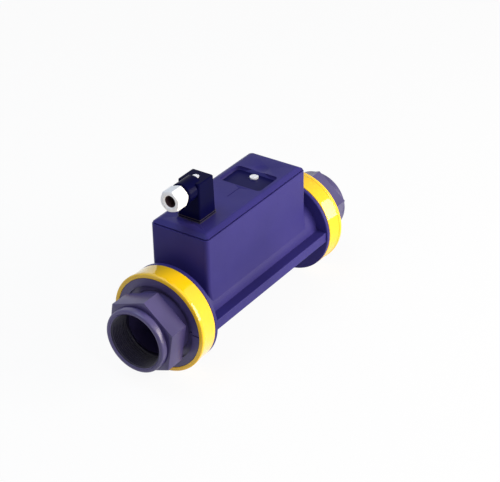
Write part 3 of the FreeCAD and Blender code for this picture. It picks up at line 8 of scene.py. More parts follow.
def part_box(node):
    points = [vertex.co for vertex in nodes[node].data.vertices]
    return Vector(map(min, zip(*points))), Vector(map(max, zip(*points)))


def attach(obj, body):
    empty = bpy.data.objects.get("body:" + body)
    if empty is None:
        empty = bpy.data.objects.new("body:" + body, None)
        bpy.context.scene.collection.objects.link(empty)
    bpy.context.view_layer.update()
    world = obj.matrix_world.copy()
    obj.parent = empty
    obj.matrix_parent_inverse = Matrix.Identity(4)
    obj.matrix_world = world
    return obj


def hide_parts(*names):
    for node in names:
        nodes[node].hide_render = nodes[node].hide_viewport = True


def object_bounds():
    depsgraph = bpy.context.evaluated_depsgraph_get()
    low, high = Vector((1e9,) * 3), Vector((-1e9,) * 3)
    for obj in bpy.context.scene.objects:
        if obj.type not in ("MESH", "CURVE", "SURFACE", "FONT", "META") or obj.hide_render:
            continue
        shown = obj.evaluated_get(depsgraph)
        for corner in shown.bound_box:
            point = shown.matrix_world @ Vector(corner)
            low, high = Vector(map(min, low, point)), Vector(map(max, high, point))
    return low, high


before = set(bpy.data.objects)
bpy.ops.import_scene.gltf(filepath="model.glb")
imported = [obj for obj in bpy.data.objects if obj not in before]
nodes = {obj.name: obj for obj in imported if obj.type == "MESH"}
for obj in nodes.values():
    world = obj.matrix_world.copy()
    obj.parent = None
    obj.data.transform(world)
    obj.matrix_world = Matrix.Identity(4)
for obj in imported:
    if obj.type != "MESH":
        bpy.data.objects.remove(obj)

lowCorner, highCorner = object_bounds()
print("frame loaded:", len(nodes), "nodes")


def linear(*display):  # display values of 0 to 255 as scene values, opaque
    shares = [value / 255 for value in display]
    return [v / 12.92 if v <= 0.04045 else ((v + 0.055) / 1.055) ** 2.4 for v in shares] + [1.0]


def boxOf(node):  # corners of a piece in millimetres
    return [corner * 1000 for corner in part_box(node)]


class Wire:  # a shader socket that adds, multiplies and compares like a number
    def __init__(self, owner, socket):
        self.owner = owner
        self.socket = socket

    def maths(self, operation, *values, clamp=False):
        settings = {"operation": operation, "use_clamp": clamp}
        return self.owner.node("ShaderNodeMath", settings, dict(enumerate(values)))

    def __add__(self, other):
        return self.maths("ADD", self, other)

    def __radd__(self, other):
        return self.maths("ADD", other, self)

    def __sub__(self, other):
        return self.maths("SUBTRACT", self, other)

    def __rsub__(self, other):
        return self.maths("SUBTRACT", other, self)

    def __mul__(self, other):
        return self.maths("MULTIPLY", self, other)

    def __rmul__(self, other):
        return self.maths("MULTIPLY", other, self)

    def __gt__(self, other):
        return self.maths("GREATER_THAN", self, other)

    def clipped(self):
        return self.maths("ADD", self, 0.0, clamp=True)

    def larger(self, other):
        return self.maths("MAXIMUM", self, other)


def setStops(ramp, stops):
    while len(ramp.elements) > 1:
        ramp.elements.remove(ramp.elements[-1])
    for i, (at, color) in enumerate(stops):
        stop = ramp.elements[0] if i == 0 else ramp.elements.new(at)
        stop.position = at
        stop.color = color


class Nodes:  # a shader tree and the few ways it grows
    def __init__(self, tree):
        self.tree = tree

    def node(self, kind, settings, sockets, output=0):
        made = self.tree.nodes.new(kind)
        for key, value in settings.items():
            if key == "stops":
                setStops(made.color_ramp, value)
            else:
                setattr(made, key, value)
        for key, value in sockets.items():
            if isinstance(value, Wire):
                self.tree.links.new(value.socket, made.inputs[key])
            else:
                made.inputs[key].default_value = value
        return Wire(self, made.outputs[output])

    def mix(self, amount, a, b):
        return self.node("ShaderNodeMix", {"data_type": "RGBA"}, {0: amount, 6: a, 7: b}, 2)

    def seen(self):  # 1 where the camera, a reflection or a clear surface looks at this
        rays = self.node("ShaderNodeLightPath", {}, {}).socket.node.outputs
        camera, glossy, clear = [Wire(self, rays["Is %s Ray" % kind])
                                 for kind in ("Camera", "Glossy", "Transmission")]
        return camera.larger(glossy).larger(clear)


class Paint(Nodes):  # one material: a Principled shader and whatever feeds it
    def __init__(self, name, color, rough, **constants):
        self.material = bpy.data.materials.new(name)
        self.material.use_nodes = True
        super().__init__(self.material.node_tree)
        self.shader = self.tree.nodes["Principled BSDF"]
        self.output = self.tree.nodes["Material Output"]
        self.shader.inputs["Base Color"].default_value = color
        self.shader.inputs["Roughness"].default_value = rough
        for key, value in constants.items():
            self.shader.inputs[key.replace("_", " ")].default_value = value
        self.place = self.node("ShaderNodeTexCoord", {}, {}, "Object")

    def noise(self, scale, detail=3.0, rough=0.55, stretch=None):
        at = self.place
        if stretch:
            at = self.node("ShaderNodeMapping", {}, {"Vector": at, "Scale": stretch})
        return self.node("ShaderNodeTexNoise", {}, {
            "Vector": at, "Scale": scale, "Detail": detail, "Roughness": rough})

    def ramp(self, value, *stops):
        return self.node("ShaderNodeValToRGB", {"stops": stops}, {"Fac": value})

    def feed(self, socket, value):
        self.tree.links.new(value.socket, self.shader.inputs[socket])

    def bump(self, height, strength, distance):
        self.feed("Normal", self.node("ShaderNodeBump", {}, {
            "Height": height, "Strength": strength, "Distance": distance}))


black = (0.0, 0.0, 0.0, 1.0)
white = (1.0, 1.0, 1.0, 1.0)

# Plastics: what the moulded ones share, then each colour. Scales are per metre, relief is in metres.
mouldedSkin = {
    "drift": 9.0, "driftLow": 0.35, "driftHigh": 0.7,
    "scuff": 55.0, "scuffLimit": 0.68, "scuffRough": 0.10,
    "satin": 60.0, "satinSpread": 0.16,
    "fine": 1100.0, "coarse": 160.0, "coarseShare": 0.6, "relief": 0.0002,
}
bodyLook = {"color": linear(54, 48, 119), "deep": linear(46, 41, 106),
            "rough": 0.46, "shine": 0.12, "grain": 0.10}
# painted shade: the settings cover's colour is darker than the lid's, standing in for the shade of its
# recess
coverShadeLook = {"color": linear(27, 25, 80), "deep": linear(22, 21, 72),
             "rough": 0.42, "shine": 0.05, "grain": 0.10}
# painted light: the fittings' colour is a lighter copy of the body's indigo, brightened to stand in for the
# light falling on them
fittingLitLook = {"color": linear(82, 73, 124), "deep": linear(58, 50, 98),
               "rough": 0.33, "shine": 0.5, "grain": 0.20}
# painted shade: a darker copy of the indigo for the thread in the fitting mouths, standing in for the shade
# in the bore
threadShadeLook = {"color": linear(40, 36, 62), "deep": linear(28, 25, 46),
              "rough": 0.30, "shine": 0.30, "grain": 0.12}


def mouldedPlastic(name, look, flow=(1.0, 6.0, 3.0)):
    # Slow colour drift, satin patches, fine grain and a few fine scuffs, drawn out by the flow.
    s = mouldedSkin
    paint = Paint(name, look["color"], look["rough"], Specular_IOR_Level=look["shine"])
    drift = paint.ramp(paint.noise(s["drift"]), (s["driftLow"], black), (s["driftHigh"], white))
    paint.feed("Base Color", paint.mix(drift, look["color"], look["deep"]))
    scuffs = (paint.noise(s["scuff"], 4.0, 0.7, flow) > s["scuffLimit"]) * s["scuffRough"]
    satin = paint.noise(s["satin"], 4.0) * s["satinSpread"] + (look["rough"] - s["satinSpread"] / 2)
    paint.feed("Roughness", satin + scuffs)
    grain = paint.noise(s["fine"], 2.0) + paint.noise(s["coarse"], 2.0) * s["coarseShare"]
    paint.bump(grain, look["grain"], s["relief"])
    return paint.material


yellowLook = {
    "color": linear(251, 203, 6), "deep": linear(249, 197, 4), "drift": 14.0,
    "rough": 0.5, "shine": 0.05, "coat": 1.0, "coatRough": 0.04, "satin": 80.0, "satinSpread": 0.12,
    "wave": 35.0, "fine": 700.0, "fineShare": 0.2, "grain": 0.07, "relief": 0.0006,
}


def yellowPlastic():  # glossy, with the slow waves of a thick moulding
    s = yellowLook
    paint = Paint("yellowPlastic", s["color"], s["rough"], Coat_Weight=s["coat"],
                  Coat_Roughness=s["coatRough"], Specular_IOR_Level=s["shine"])
    paint.feed("Base Color", paint.mix(paint.noise(s["drift"]), s["color"], s["deep"]))
    satin = paint.noise(s["satin"]) * s["satinSpread"] + (s["rough"] - s["satinSpread"] / 2)
    paint.feed("Roughness", satin)
    waves = paint.noise(s["wave"], 2.0) + paint.noise(s["fine"], 2.0) * s["fineShare"]
    paint.bump(waves, s["grain"], s["relief"])
    return paint.material


plugLook = {
    "color": linear(9, 9, 58), "deep": linear(6, 6, 38), "drift": 25.0, "rough": 0.22, "shine": 0.02,
    "scuff": 90.0, "scuffFlow": (4.0, 1.0, 1.0), "scuffLimit": 0.66, "scuffRough": 0.15,
    "satin": 70.0, "satinSpread": 0.16,
    "coarse": 240.0, "fine": 900.0, "fineShare": 0.4, "grain": 0.10, "relief": 0.0003,
}


def plugPlastic():  # dark nylon, scuffed where it is handled
    s = plugLook
    paint = Paint("navyGloss", s["color"], s["rough"], Specular_IOR_Level=s["shine"])
    paint.feed("Base Color", paint.mix(paint.noise(s["drift"], 2.0), s["color"], s["deep"]))
    scuffs = (paint.noise(s["scuff"], 4.0, 0.7, s["scuffFlow"]) > s["scuffLimit"]) * s["scuffRough"]
    satin = paint.noise(s["satin"]) * s["satinSpread"] + (s["rough"] - s["satinSpread"] / 2)
    paint.feed("Roughness", satin + scuffs)
    grain = paint.noise(s["coarse"], 2.0) + paint.noise(s["fine"], 2.0) * s["fineShare"]
    paint.bump(grain, s["grain"], s["relief"])
    return paint.material


boardLook = {
    "mask": linear(20, 84, 46), "track": linear(52, 128, 66), "rough": 0.32, "along": 90.0, "across": 60.0,
    "trackLimit": 0.82, "patch": 55.0, "satin": 120.0, "satinSpread": 0.12, "grain": 0.25, "relief": 0.0001,
}


def circuitGreen():
    # Solder mask over copper tracks: bands of two crossed waves, each shown in its own patches.
    s = boardLook
    paint = Paint("boardGreen", s["mask"], s["rough"])
    along, across = [paint.node("ShaderNodeTexWave", {"bands_direction": way},
                                {"Vector": paint.place, "Scale": scale, "Distortion": 0.0})
                     for way, scale in (("Y", s["along"]), ("X", s["across"]))]
    choice = paint.noise(s["patch"], 1.0) > 0.5
    tracks = ((along > s["trackLimit"]) * choice + (across > s["trackLimit"]) * (1 - choice)).clipped()
    paint.feed("Base Color", paint.mix(tracks, s["mask"], s["track"]))
    satin = paint.noise(s["satin"]) * s["satinSpread"] + (s["rough"] - s["satinSpread"] / 2)
    paint.feed("Roughness", satin)
    paint.bump(tracks, s["grain"], s["relief"])
    return paint.material


def plain(name, color, rough, metal=0.0, scale=120.0, bump=0.08, darker=0.75):
    # An even finish with a slow change of shade, a little uneven gloss and fine grain.
    spread, shine, relief = 0.12, 0.4, 0.0003
    paint = Paint(name, color, rough, Metallic=metal, Specular_IOR_Level=shine)
    dark = [c * darker for c in color[:3]] + [1.0]
    paint.feed("Base Color", paint.mix(paint.noise(scale * 0.3), color, dark))
    paint.feed("Roughness", paint.noise(scale) * spread + (rough - spread / 2))
    paint.bump(paint.noise(scale * 3, 2.0), bump, relief)
    return paint.material


indigo = mouldedPlastic("indigoPlastic", bodyLook)
yellow = yellowPlastic()
navy = plugPlastic()
coverShadedIndigo = mouldedPlastic("coverPaintedShade", coverShadeLook)
threadShadedIndigo = mouldedPlastic("threadPaintedShade", threadShadeLook)
fittingLitIndigo = mouldedPlastic("fittingPaintedLight", fittingLitLook, (6.0, 1.0, 1.0))
paleGrey = plain("palePlastic", linear(252, 252, 252), 0.45, bump=0.05, darker=0.98)
blackRubber = plain("blackRubber", linear(40, 32, 36), 0.6)
brownRubber = plain("cableRubber", linear(74, 54, 60), 0.6)
greyRubber = plain("greyRubber", linear(52, 48, 66), 0.55)
zinc = plain("brightZinc", linear(250, 250, 252), 0.45, metal=0.3, scale=400.0, bump=0.05, darker=0.97)
steel = plain("brightSteel", linear(240, 241, 244), 0.24, metal=1.0, scale=400.0, bump=0.05, darker=0.92)
brass = plain("tinnedBrass", linear(214, 196, 140), 0.28, metal=1.0, scale=300.0)
magnetSkin = plain("magnetSkin", linear(170, 172, 176), 0.25, metal=1.0)
ceramic = plain("bearingCeramic", linear(226, 220, 208), 0.3)
rotorPlastic = plain("rotorPlastic", linear(232, 232, 226), 0.4, darker=0.9)
darkPlastic = plain("darkPlastic", linear(40, 38, 48), 0.5)
boardGreen = circuitGreen()
chipBlack = plain("chipBlack", linear(30, 30, 33), 0.5)
print("materials made")

finishes = (
    (indigo, ("meter_body", "housing_lid")),
    # the fittings and split rings wear the lighter, painted-light copy of the indigo
    (fittingLitIndigo, ("inlet_fitting", "outlet_fitting", "inlet_split_ring", "outlet_split_ring")),
    (coverShadedIndigo, ("settings_cover",)),
    (yellow, ("inlet_union_ring", "outlet_union_ring")),
    (navy, ("connector_base", "plug_housing", "contact_carrier")),
    (paleGrey, ("gland_nut", "gland_washer")),
    (brownRubber, ("cable_grommet",)),
    (blackRubber, ("inlet_o_ring", "outlet_o_ring", "cover_gasket", "plug_gasket")),
    (greyRubber, ("base_gasket",)),
    (zinc, ("cover_screw", "plug_screw")),
    (steel, ("base_screws", "board_screws", "retaining_rings", "rotor_shaft")),
    (brass, ("contact_blades", "terminal_screws")),
    (rotorPlastic, ("turbine_rotor",)),
    (magnetSkin, ("rotor_magnets",)),
    (ceramic, ("front_bearing_bush", "rear_bearing_bush")),
    (darkPlastic, ("inlet_straightener", "outlet_straightener", "pickup_sensor")),
    (boardGreen, ("circuit_board",)),
    (chipBlack, ("board_components", "jumper_header")),
)
for finish, names in finishes:
    for name in names:
        nodes[name].data.materials.clear()
        nodes[name].data.materials.append(finish)
print("finishes set")

# Turned pieces are drawn in millimetres: x runs from the inlet mouth, radii are about a line along x.
meterLength = boxOf("outlet_fitting")[1].x
sharpAngle = 32.0


def turned(name, rings, angles, finish, body, node, y=0.0, z=0.0, flip=False):
    # Each ring is (x, radius), the radius one number or one for each angle. They run along the outside and
    # back through the bore, and the last joins the first. With flip, x runs back from the outlet mouth.
    turns = len(angles)
    points = []
    for x, radius in rings:
        along = meterLength - x if flip else x
        for r, t in zip(np.broadcast_to(radius, turns), angles):
            points.append([value * 0.001 for value in (along, y + r * math.cos(t), z + r * math.sin(t))])
    faces = []
    for i in range(len(rings)):
        low = i * turns
        high = (i + 1) % len(rings) * turns
        for k in range(turns):
            n = (k + 1) % turns
            face = (low + k, low + n, high + n, high + k)
            faces.append(face[::-1] if flip else face)
    mesh = bpy.data.meshes.new(name)
    mesh.from_pydata(points, [], faces)
    mesh.materials.append(finish)
    mesh.shade_smooth()
    mesh.set_sharp_from_angle(angle=math.radians(sharpAngle))
    piece = bpy.data.objects.new(name, mesh)
    bpy.context.scene.collection.objects.link(piece)
    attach(piece, body)
    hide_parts(node)
    return piece


def around(first, turns=192):
    return math.radians(first) + np.arange(turns) * (2 * math.pi / turns)


def hexagon(corner, first, angles):
    local = np.mod(angles - math.radians(first) + 1e-9, math.pi / 3) - math.pi / 6
    return corner * math.cos(math.pi / 6) / np.cos(local)


def arc(x, radius, size, start, end, steps=5):  # a rounding in the profile, centred at x and radius
    turn = [math.radians(start + (end - start) * i / steps) for i in range(steps + 1)]
    return [(x + size * math.cos(t), radius + size * math.sin(t)) for t in turn]


def groove(x, angles, lead, flip=False, flat=0.14):
    # 0 on the land and 1 at the bottom of a right-hand thread, which follows the station along the meter.
    station = meterLength - x if flip else x
    wave = np.abs(2 * np.mod(station / lead - angles / (2 * math.pi), 1.0) - 1)
    return np.clip((wave - flat) / (1 - 2 * flat), 0, 1)


fittingShape = {
    "mouth": 30.73, "lip": ((0.45, -0.1), (0.12, 0.12), (0.0, 0.5)),  # station and step out from the mouth
    "minor": 28.33, "threadDepth": 1.48, "threadPitch": 2.309, "threadEnd": 26.0, "threadFade": 2.5,
    "threadStep": 0.2, "threadStart": 1.2, "slack": 0.1, "bore": 26.0,
    "bead": 34.6, "beadBack": 8.0, "beadRound": 2.4, "beadBackRound": 0.9, "neck": 33.0, "neckEase": 0.4,
    "hexFront": 10.0, "hexBack": 33.0, "hexCorner": 42.5, "hexFirst": 39.5,  # the first corner, in degrees
    "edge": 0.6, "edgeBend": 0.3, "sleeve": 34.6, "flangeFront": 46.0, "flangeEase": 0.3,
    "sealOuter": 35.3, "sealInner": 32.5, "sealFloor": 49.8,
}


def mouthThread(angles, flip):
    # The pipe thread from its end back to the mouth: it fades out inside and meets a cone at the mouth.
    s = fittingShape
    steps = int(s["threadEnd"] / s["threadStep"])
    rings = []
    for i in range(steps, 0, -1):
        x = s["threadEnd"] * i / steps
        fade = min(1.0, (s["threadEnd"] - x) / s["threadFade"])
        cut = s["minor"] + s["threadDepth"] * fade * groove(x, angles, s["threadPitch"], flip)
        rings.append((x, np.maximum(cut, s["mouth"] - x)))
    return rings


def endFitting(name, node, flip):
    s = fittingShape
    high = boxOf("inlet_fitting")[1]
    face, flange = high.x, high.z
    angles = around(s["hexFirst"])
    hexed = hexagon(s["hexCorner"], s["hexFirst"], angles)
    edge, bend, ease = s["edge"], s["edge"] * s["edgeBend"], s["flangeEase"]
    rings = [(x, s["mouth"] + out) for x, out in s["lip"]]
    rings += [(0.0, s["bead"] - s["beadRound"])]
    rings += arc(s["beadRound"], s["bead"] - s["beadRound"], s["beadRound"], 180, 90)[1:]
    beadBackRound = s["beadBackRound"]
    rings += arc(s["beadBack"] - beadBackRound, s["bead"] - beadBackRound, beadBackRound, 90, 0)
    rings += [(s["beadBack"], s["neck"] + s["neckEase"]), (s["beadBack"] + s["neckEase"], s["neck"])]
    rings += [(s["hexFront"], s["neck"]), (s["hexFront"], hexed - edge)]
    rings += [(s["hexFront"] + bend, hexed - bend), (s["hexFront"] + edge, hexed)]
    rings += [(s["hexBack"] - edge, hexed), (s["hexBack"], hexed - edge)]
    rings += [(s["hexBack"], s["sleeve"]), (s["flangeFront"], s["sleeve"])]
    rings += [(s["flangeFront"], flange - ease), (s["flangeFront"] + ease, flange)]
    rings += [(face - ease, flange), (face, flange - ease)]
    rings += [(face, s["sealOuter"]), (s["sealFloor"], s["sealOuter"])]
    rings += [(s["sealFloor"], s["sealInner"]), (face, s["sealInner"])]
    rings += [(face, s["bore"]), (s["threadEnd"], s["bore"])]
    rings += mouthThread(angles, flip)
    piece = turned(name, rings, angles, fittingLitIndigo, "meter", node, flip=flip)
    piece.data.materials.append(threadShadedIndigo)
    reach, last = s["minor"] + s["threadDepth"] + s["slack"], s["threadEnd"] + s["slack"]
    for polygon in piece.data.polygons:  # the thread faces get a darker, less shiny copy of the skin; its darker colour is painted shade in the bore
        spot = polygon.center * 1000
        depth = meterLength - spot.x if flip else spot.x
        if s["threadStart"] < depth < last and math.hypot(spot.y, spot.z) < reach:
            polygon.material_index = 1


endFitting("inletFitting", "inlet_fitting", False)
endFitting("outletFitting", "outlet_fitting", True)
print("end fittings turned")

unionShape = {
    "lipBack": 44.2, "lipRound": 1.3, "lipBackRound": 1.2,
    "band": 53.2, "bandEase": ((0.75, 0.12), (1.1, 0.0)),  # how far behind the lip and above the band
    "backRound": 0.8, "ease": 0.3, "mouth": 49.6, "seat": 51.0, "seatFront": 41.8, "seatBack": 46.2,
    "clear": 49.0, "thread": 47.6, "threadFront": 52.2, "threadBack": 58.2, "threadSteps": 40,
    "lead": 4.2, "depth": 1.2, "flat": 0.22,
}


def unionRing(name, side, flip):
    s = unionShape
    low, high = boxOf("inlet_union_ring")
    front, back, lip = low.x, high.x, high.z
    angles = around(0.0, 240)
    ease = s["ease"]
    rings = [(front, s["mouth"] + ease)]
    rings += arc(front + s["lipRound"], lip - s["lipRound"], s["lipRound"], 180, 90, 8)
    rings += arc(s["lipBack"] - s["lipBackRound"], lip - s["lipBackRound"], s["lipBackRound"], 90, 30)
    rings += [(s["lipBack"] + behind, s["band"] + above) for behind, above in s["bandEase"]]
    rings += arc(back - s["backRound"], s["band"] - s["backRound"], s["backRound"], 90, 0)
    rings += [(back, s["clear"] + ease), (back - ease, s["clear"]), (s["threadBack"], s["clear"])]
    for i in range(s["threadSteps"], -1, -1):
        x = s["threadFront"] + (s["threadBack"] - s["threadFront"]) * i / s["threadSteps"]
        rings.append((x, s["thread"] + s["depth"] * groove(x, angles, s["lead"], flip, s["flat"])))
    rings += [(s["threadFront"], s["clear"]), (s["seatBack"], s["clear"]), (s["seatBack"], s["seat"])]
    rings += [(s["seatFront"], s["seat"]), (s["seatFront"], s["mouth"]), (front + ease, s["mouth"])]
    turned(name, rings, angles, yellow, side + "_ring", side + "_union_ring", flip=flip)


unionRing("inletUnionRing", "inlet", False)
unionRing("outletUnionRing", "outlet", True)

nutShape = {
    "front": 67.4, "back": 83.6, "corner": 12.0, "first": 43.8, "blend": 70.0,
    "bevel": 1.4, "backSlope": 1.6, "backEase": 0.2,
    "frontSteps": (0.12, 0.35, 0.7, 1.05, 1.4, 1.8), "backSteps": (0.9, 0.6, 0.3, 0.0),
    "rim": 0.5, "ease": 0.3, "funnel": 7.2, "funnelDepth": 1.4, "hole": 6.2, "lining": 69.0, "slack": 0.05,
    "shank": 8.4, "lead": 1.5, "depth": 0.55, "threadFade": 1.2, "threadSteps": 70,
}


def nutSkin(x, hexed):  # radius at a station: the hexagon, blended into a cone at both ends
    s = nutShape
    rise = min(x - s["front"], s["bevel"], (s["back"] - x) * s["backSlope"] + s["backEase"])
    cone = s["corner"] - s["bevel"] + rise
    return (hexed ** -s["blend"] + cone ** -s["blend"]) ** (-1 / s["blend"])


def glandNut():
    s = nutShape
    low, high = boxOf("gland_nut")
    y, z = (low.y + high.y) / 2, (low.z + high.z) / 2
    angles = around(s["first"])
    hexed = hexagon(s["corner"], s["first"], angles)
    stations = [s["front"] + step for step in s["frontSteps"]]
    stations += [s["back"] - step for step in s["backSteps"]]
    rings = [(s["front"], s["funnel"] + s["ease"]), (s["front"], s["corner"] - s["bevel"] - s["rim"])]
    rings += [(x, nutSkin(x, hexed)) for x in stations]
    for i in range(s["threadSteps"] + 1):
        x = s["back"] + (high.x - s["back"]) * i / s["threadSteps"]
        fade = min(1.0, (x - s["back"]) / s["threadFade"])
        rings.append((x, s["shank"] - s["depth"] * fade * groove(x, angles, s["lead"])))
    rings += [(high.x, s["hole"]), (s["front"] + s["funnelDepth"], s["hole"])]
    rings += [(s["front"] + s["ease"], s["funnel"])]
    nut = turned("glandNut", rings, angles, paleGrey, "gland", "gland_nut", y, z)
    nut.data.materials.append(brownRubber)
    for polygon in nut.data.polygons:  # soft lining in the cable hole
        spot = polygon.center * 1000
        if spot.x > s["lining"] and math.hypot(spot.y - y, spot.z - z) < s["hole"] + s["slack"]:
            polygon.material_index = 1


glandNut()
print("union rings and gland nut turned")

# The lid is the CAD lid cut by a softly rounded hull, which also leaves a shadow gap at the seam.
lidShape = {
    "trim": 0.03, "seamDepth": 1.5, "seamHeight": 1.3, "hullDepth": 8.0,
    "foot": ((0.0, 0.30), (0.08, 0.12), (0.25, 0.05), (0.6, 0.03)),  # up from the gap, in from the slope
    "skirt": 0.9, "slope": 5.8, "cornerRound": 4.5, "crownRound": 1.9, "crownSoft": 1.6, "crownSteps": 5,
    "cornerSteps": 8, "sharp": 26.0,
}


def roundedLoop(low, high, inset, radius, z):
    loop = []
    corners = ((high.x, high.y, 0), (low.x, high.y, 90), (low.x, low.y, 180), (high.x, low.y, 270))
    for x, y, start in corners:
        centreX = x - math.copysign(inset + radius, x - (low.x + high.x) / 2)
        centreY = y - math.copysign(inset + radius, y - (low.y + high.y) / 2)
        for k in range(lidShape["cornerSteps"] + 1):
            turn = math.radians(start + 90 * k / lidShape["cornerSteps"])
            loop.append((centreX + radius * math.cos(turn), centreY + radius * math.sin(turn), z))
    return loop


def lidProfile(rise):
    # Heights above the seam with insets from the lid's side, from the shadow gap up over the crown's edge.
    s = lidShape
    start, end = Vector((s["skirt"], 0.0)), Vector((rise, s["slope"]))
    run = (end - start).normalized()
    profile = [(-s["hullDepth"], s["seamDepth"]), (s["seamHeight"], s["seamDepth"])]
    for up, inward in s["foot"]:
        height = s["seamHeight"] + up
        profile.append((height, (height - s["skirt"]) * run.y / run.x + inward))
    first, last = end - run * s["crownSoft"], end + Vector((0.0, s["crownSoft"]))
    for i in range(s["crownSteps"] + 1):
        t = i / s["crownSteps"]
        profile.append(tuple((1 - t) ** 2 * first + 2 * t * (1 - t) * end + t * t * last))
    return profile


def lidHull(low, high, seam):
    s = lidShape
    loops = []
    for height, inset in lidProfile(high.z - s["trim"] - seam):
        share = min(1.0, max(0.0, inset / s["slope"]))
        radius = s["cornerRound"] + (s["crownRound"] - s["cornerRound"]) * share
        loops.append(roundedLoop(low, high, inset, radius, seam + height))
    count, top = len(loops[0]), len(loops) - 1
    faces = [tuple(range(count))[::-1], tuple(range(top * count, (top + 1) * count))]
    for i in range(top):
        for k in range(count):
            n = (k + 1) % count
            faces.append((i * count + k, i * count + n, (i + 1) * count + n, (i + 1) * count + k))
    points = [tuple(value * 0.001 for value in point) for loop in loops for point in loop]
    mesh = bpy.data.meshes.new("lidHull")
    mesh.from_pydata(points, [], faces)
    return bpy.data.objects.new("lidHull", mesh)


def mergedCopy(node):  # a CAD mesh is loose triangles, so its copy is merged before it is cut
    mesh = nodes[node].data.copy()
    work = bmesh.new()
    work.from_mesh(mesh)
    bmesh.ops.remove_doubles(work, verts=work.verts, dist=1e-6)
    work.to_mesh(mesh)
    work.free()
    return mesh


def softLid():
    low, high = boxOf("housing_lid")
    hull = lidHull(low, high, boxOf("meter_body")[1].z)
    lid = bpy.data.objects.new("softLid", mergedCopy("housing_lid"))
    for thing in (hull, lid):
        bpy.context.scene.collection.objects.link(thing)
    trim = lid.modifiers.new("trim", "BOOLEAN")
    trim.operation = "INTERSECT"
    trim.solver = "EXACT"
    trim.object = hull
    mesh = bpy.data.meshes.new_from_object(lid.evaluated_get(bpy.context.evaluated_depsgraph_get()))
    lid.modifiers.remove(trim)
    lid.data = mesh
    bpy.data.objects.remove(hull)
    mesh.materials.clear()
    mesh.materials.append(indigo)
    mesh.shade_smooth()
    mesh.set_sharp_from_angle(angle=math.radians(lidShape["sharp"]))
    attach(lid, "meter")
    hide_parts("housing_lid")
    print("lid trimmed:", len(mesh.polygons), "faces")


softLid()


# Threads that stand proud of a shank are grown by geometry nodes.
def socketOf(group, label):
    return next(item.identifier for item in group.interface.items_tree if item.name == label)


def nodeGroup(name, inputs):
    group = bpy.data.node_groups.new(name, "GeometryNodeTree")
    group.interface.new_socket("Geometry", in_out="INPUT", socket_type="NodeSocketGeometry")
    for label, kind in inputs.items():
        group.interface.new_socket(label, in_out="INPUT", socket_type="NodeSocket" + kind)
    group.interface.new_socket("Geometry", in_out="OUTPUT", socket_type="NodeSocketGeometry")
    return group


def addNode(group, kind, settings, sockets):
    made = group.nodes.new(kind)
    for key, value in settings.items():
        setattr(made, key, value)
    for key, value in sockets.items():
        if isinstance(value, bpy.types.NodeSocket):
            group.links.new(value, made.inputs[key])
        else:
            made.inputs[key].default_value = value
    return made


def threadGroup():
    # A helical ridge of diamond section on every point of the mesh it is given.
    group = nodeGroup("threadRidge", {
        "Radius": "Float", "Lead": "Float", "Turns": "Float", "Depth": "Float", "Tilt": "Vector",
        "Steps": "Int", "Finish": "Material"})
    given = group.nodes.new("NodeGroupInput").outputs
    height = addNode(group, "ShaderNodeMath", {"operation": "MULTIPLY"}, {
        0: given["Lead"], 1: given["Turns"]})
    spiral = addNode(group, "GeometryNodeCurveSpiral", {}, {
        "Resolution": given["Steps"], "Rotations": given["Turns"], "Start Radius": given["Radius"],
        "End Radius": given["Radius"], "Height": height.outputs[0], "Reverse": True})
    upright = addNode(group, "GeometryNodeSetCurveNormal", {"mode": "Z_UP"}, {"Curve": spiral.outputs[0]})
    section = addNode(group, "GeometryNodeCurvePrimitiveCircle", {}, {
        "Resolution": 4, "Radius": given["Depth"]})
    ridge = addNode(group, "GeometryNodeCurveToMesh", {}, {
        "Curve": upright.outputs[0], "Profile Curve": section.outputs[0], "Fill Caps": True})
    points = addNode(group, "GeometryNodeMeshToPoints", {}, {"Mesh": given["Geometry"]})
    tilt = addNode(group, "FunctionNodeEulerToRotation", {}, {"Euler": given["Tilt"]})
    placed = addNode(group, "GeometryNodeInstanceOnPoints", {}, {
        "Points": points.outputs[0], "Instance": ridge.outputs[0], "Rotation": tilt.outputs[0]})
    real = addNode(group, "GeometryNodeRealizeInstances", {}, {"Geometry": placed.outputs[0]})
    finish = addNode(group, "GeometryNodeSetMaterial", {}, {
        "Geometry": real.outputs[0], "Material": given["Finish"]})
    out = group.nodes.new("NodeGroupOutput")
    group.links.new(finish.outputs[0], out.inputs[0])
    return group


threads = threadGroup()


def grownThread(name, foot, look, tilt, finish, body):
    # Winds one ridge at its foot point, all in millimetres, and keeps it as a plain mesh.
    seed = bpy.data.meshes.new(name + "Foot")
    seed.from_pydata([tuple(value * 0.001 for value in foot)], [], [])
    grower = bpy.data.objects.new(name + "Foot", seed)
    bpy.context.scene.collection.objects.link(grower)
    modifier = grower.modifiers.new("grow", "NODES")
    modifier.node_group = threads
    modifier[socketOf(threads, "Radius")] = look["radius"] * 0.001
    modifier[socketOf(threads, "Lead")] = look["lead"] * 0.001
    modifier[socketOf(threads, "Turns")] = look["turns"]
    modifier[socketOf(threads, "Depth")] = look["depth"] * 0.001
    modifier[socketOf(threads, "Tilt")] = tilt
    modifier[socketOf(threads, "Steps")] = look["steps"]
    modifier[socketOf(threads, "Finish")] = finish
    mesh = bpy.data.meshes.new_from_object(grower.evaluated_get(bpy.context.evaluated_depsgraph_get()))
    mesh.name = name
    bpy.data.objects.remove(grower)
    piece = bpy.data.objects.new(name, mesh)
    bpy.context.scene.collection.objects.link(piece)
    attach(piece, body)


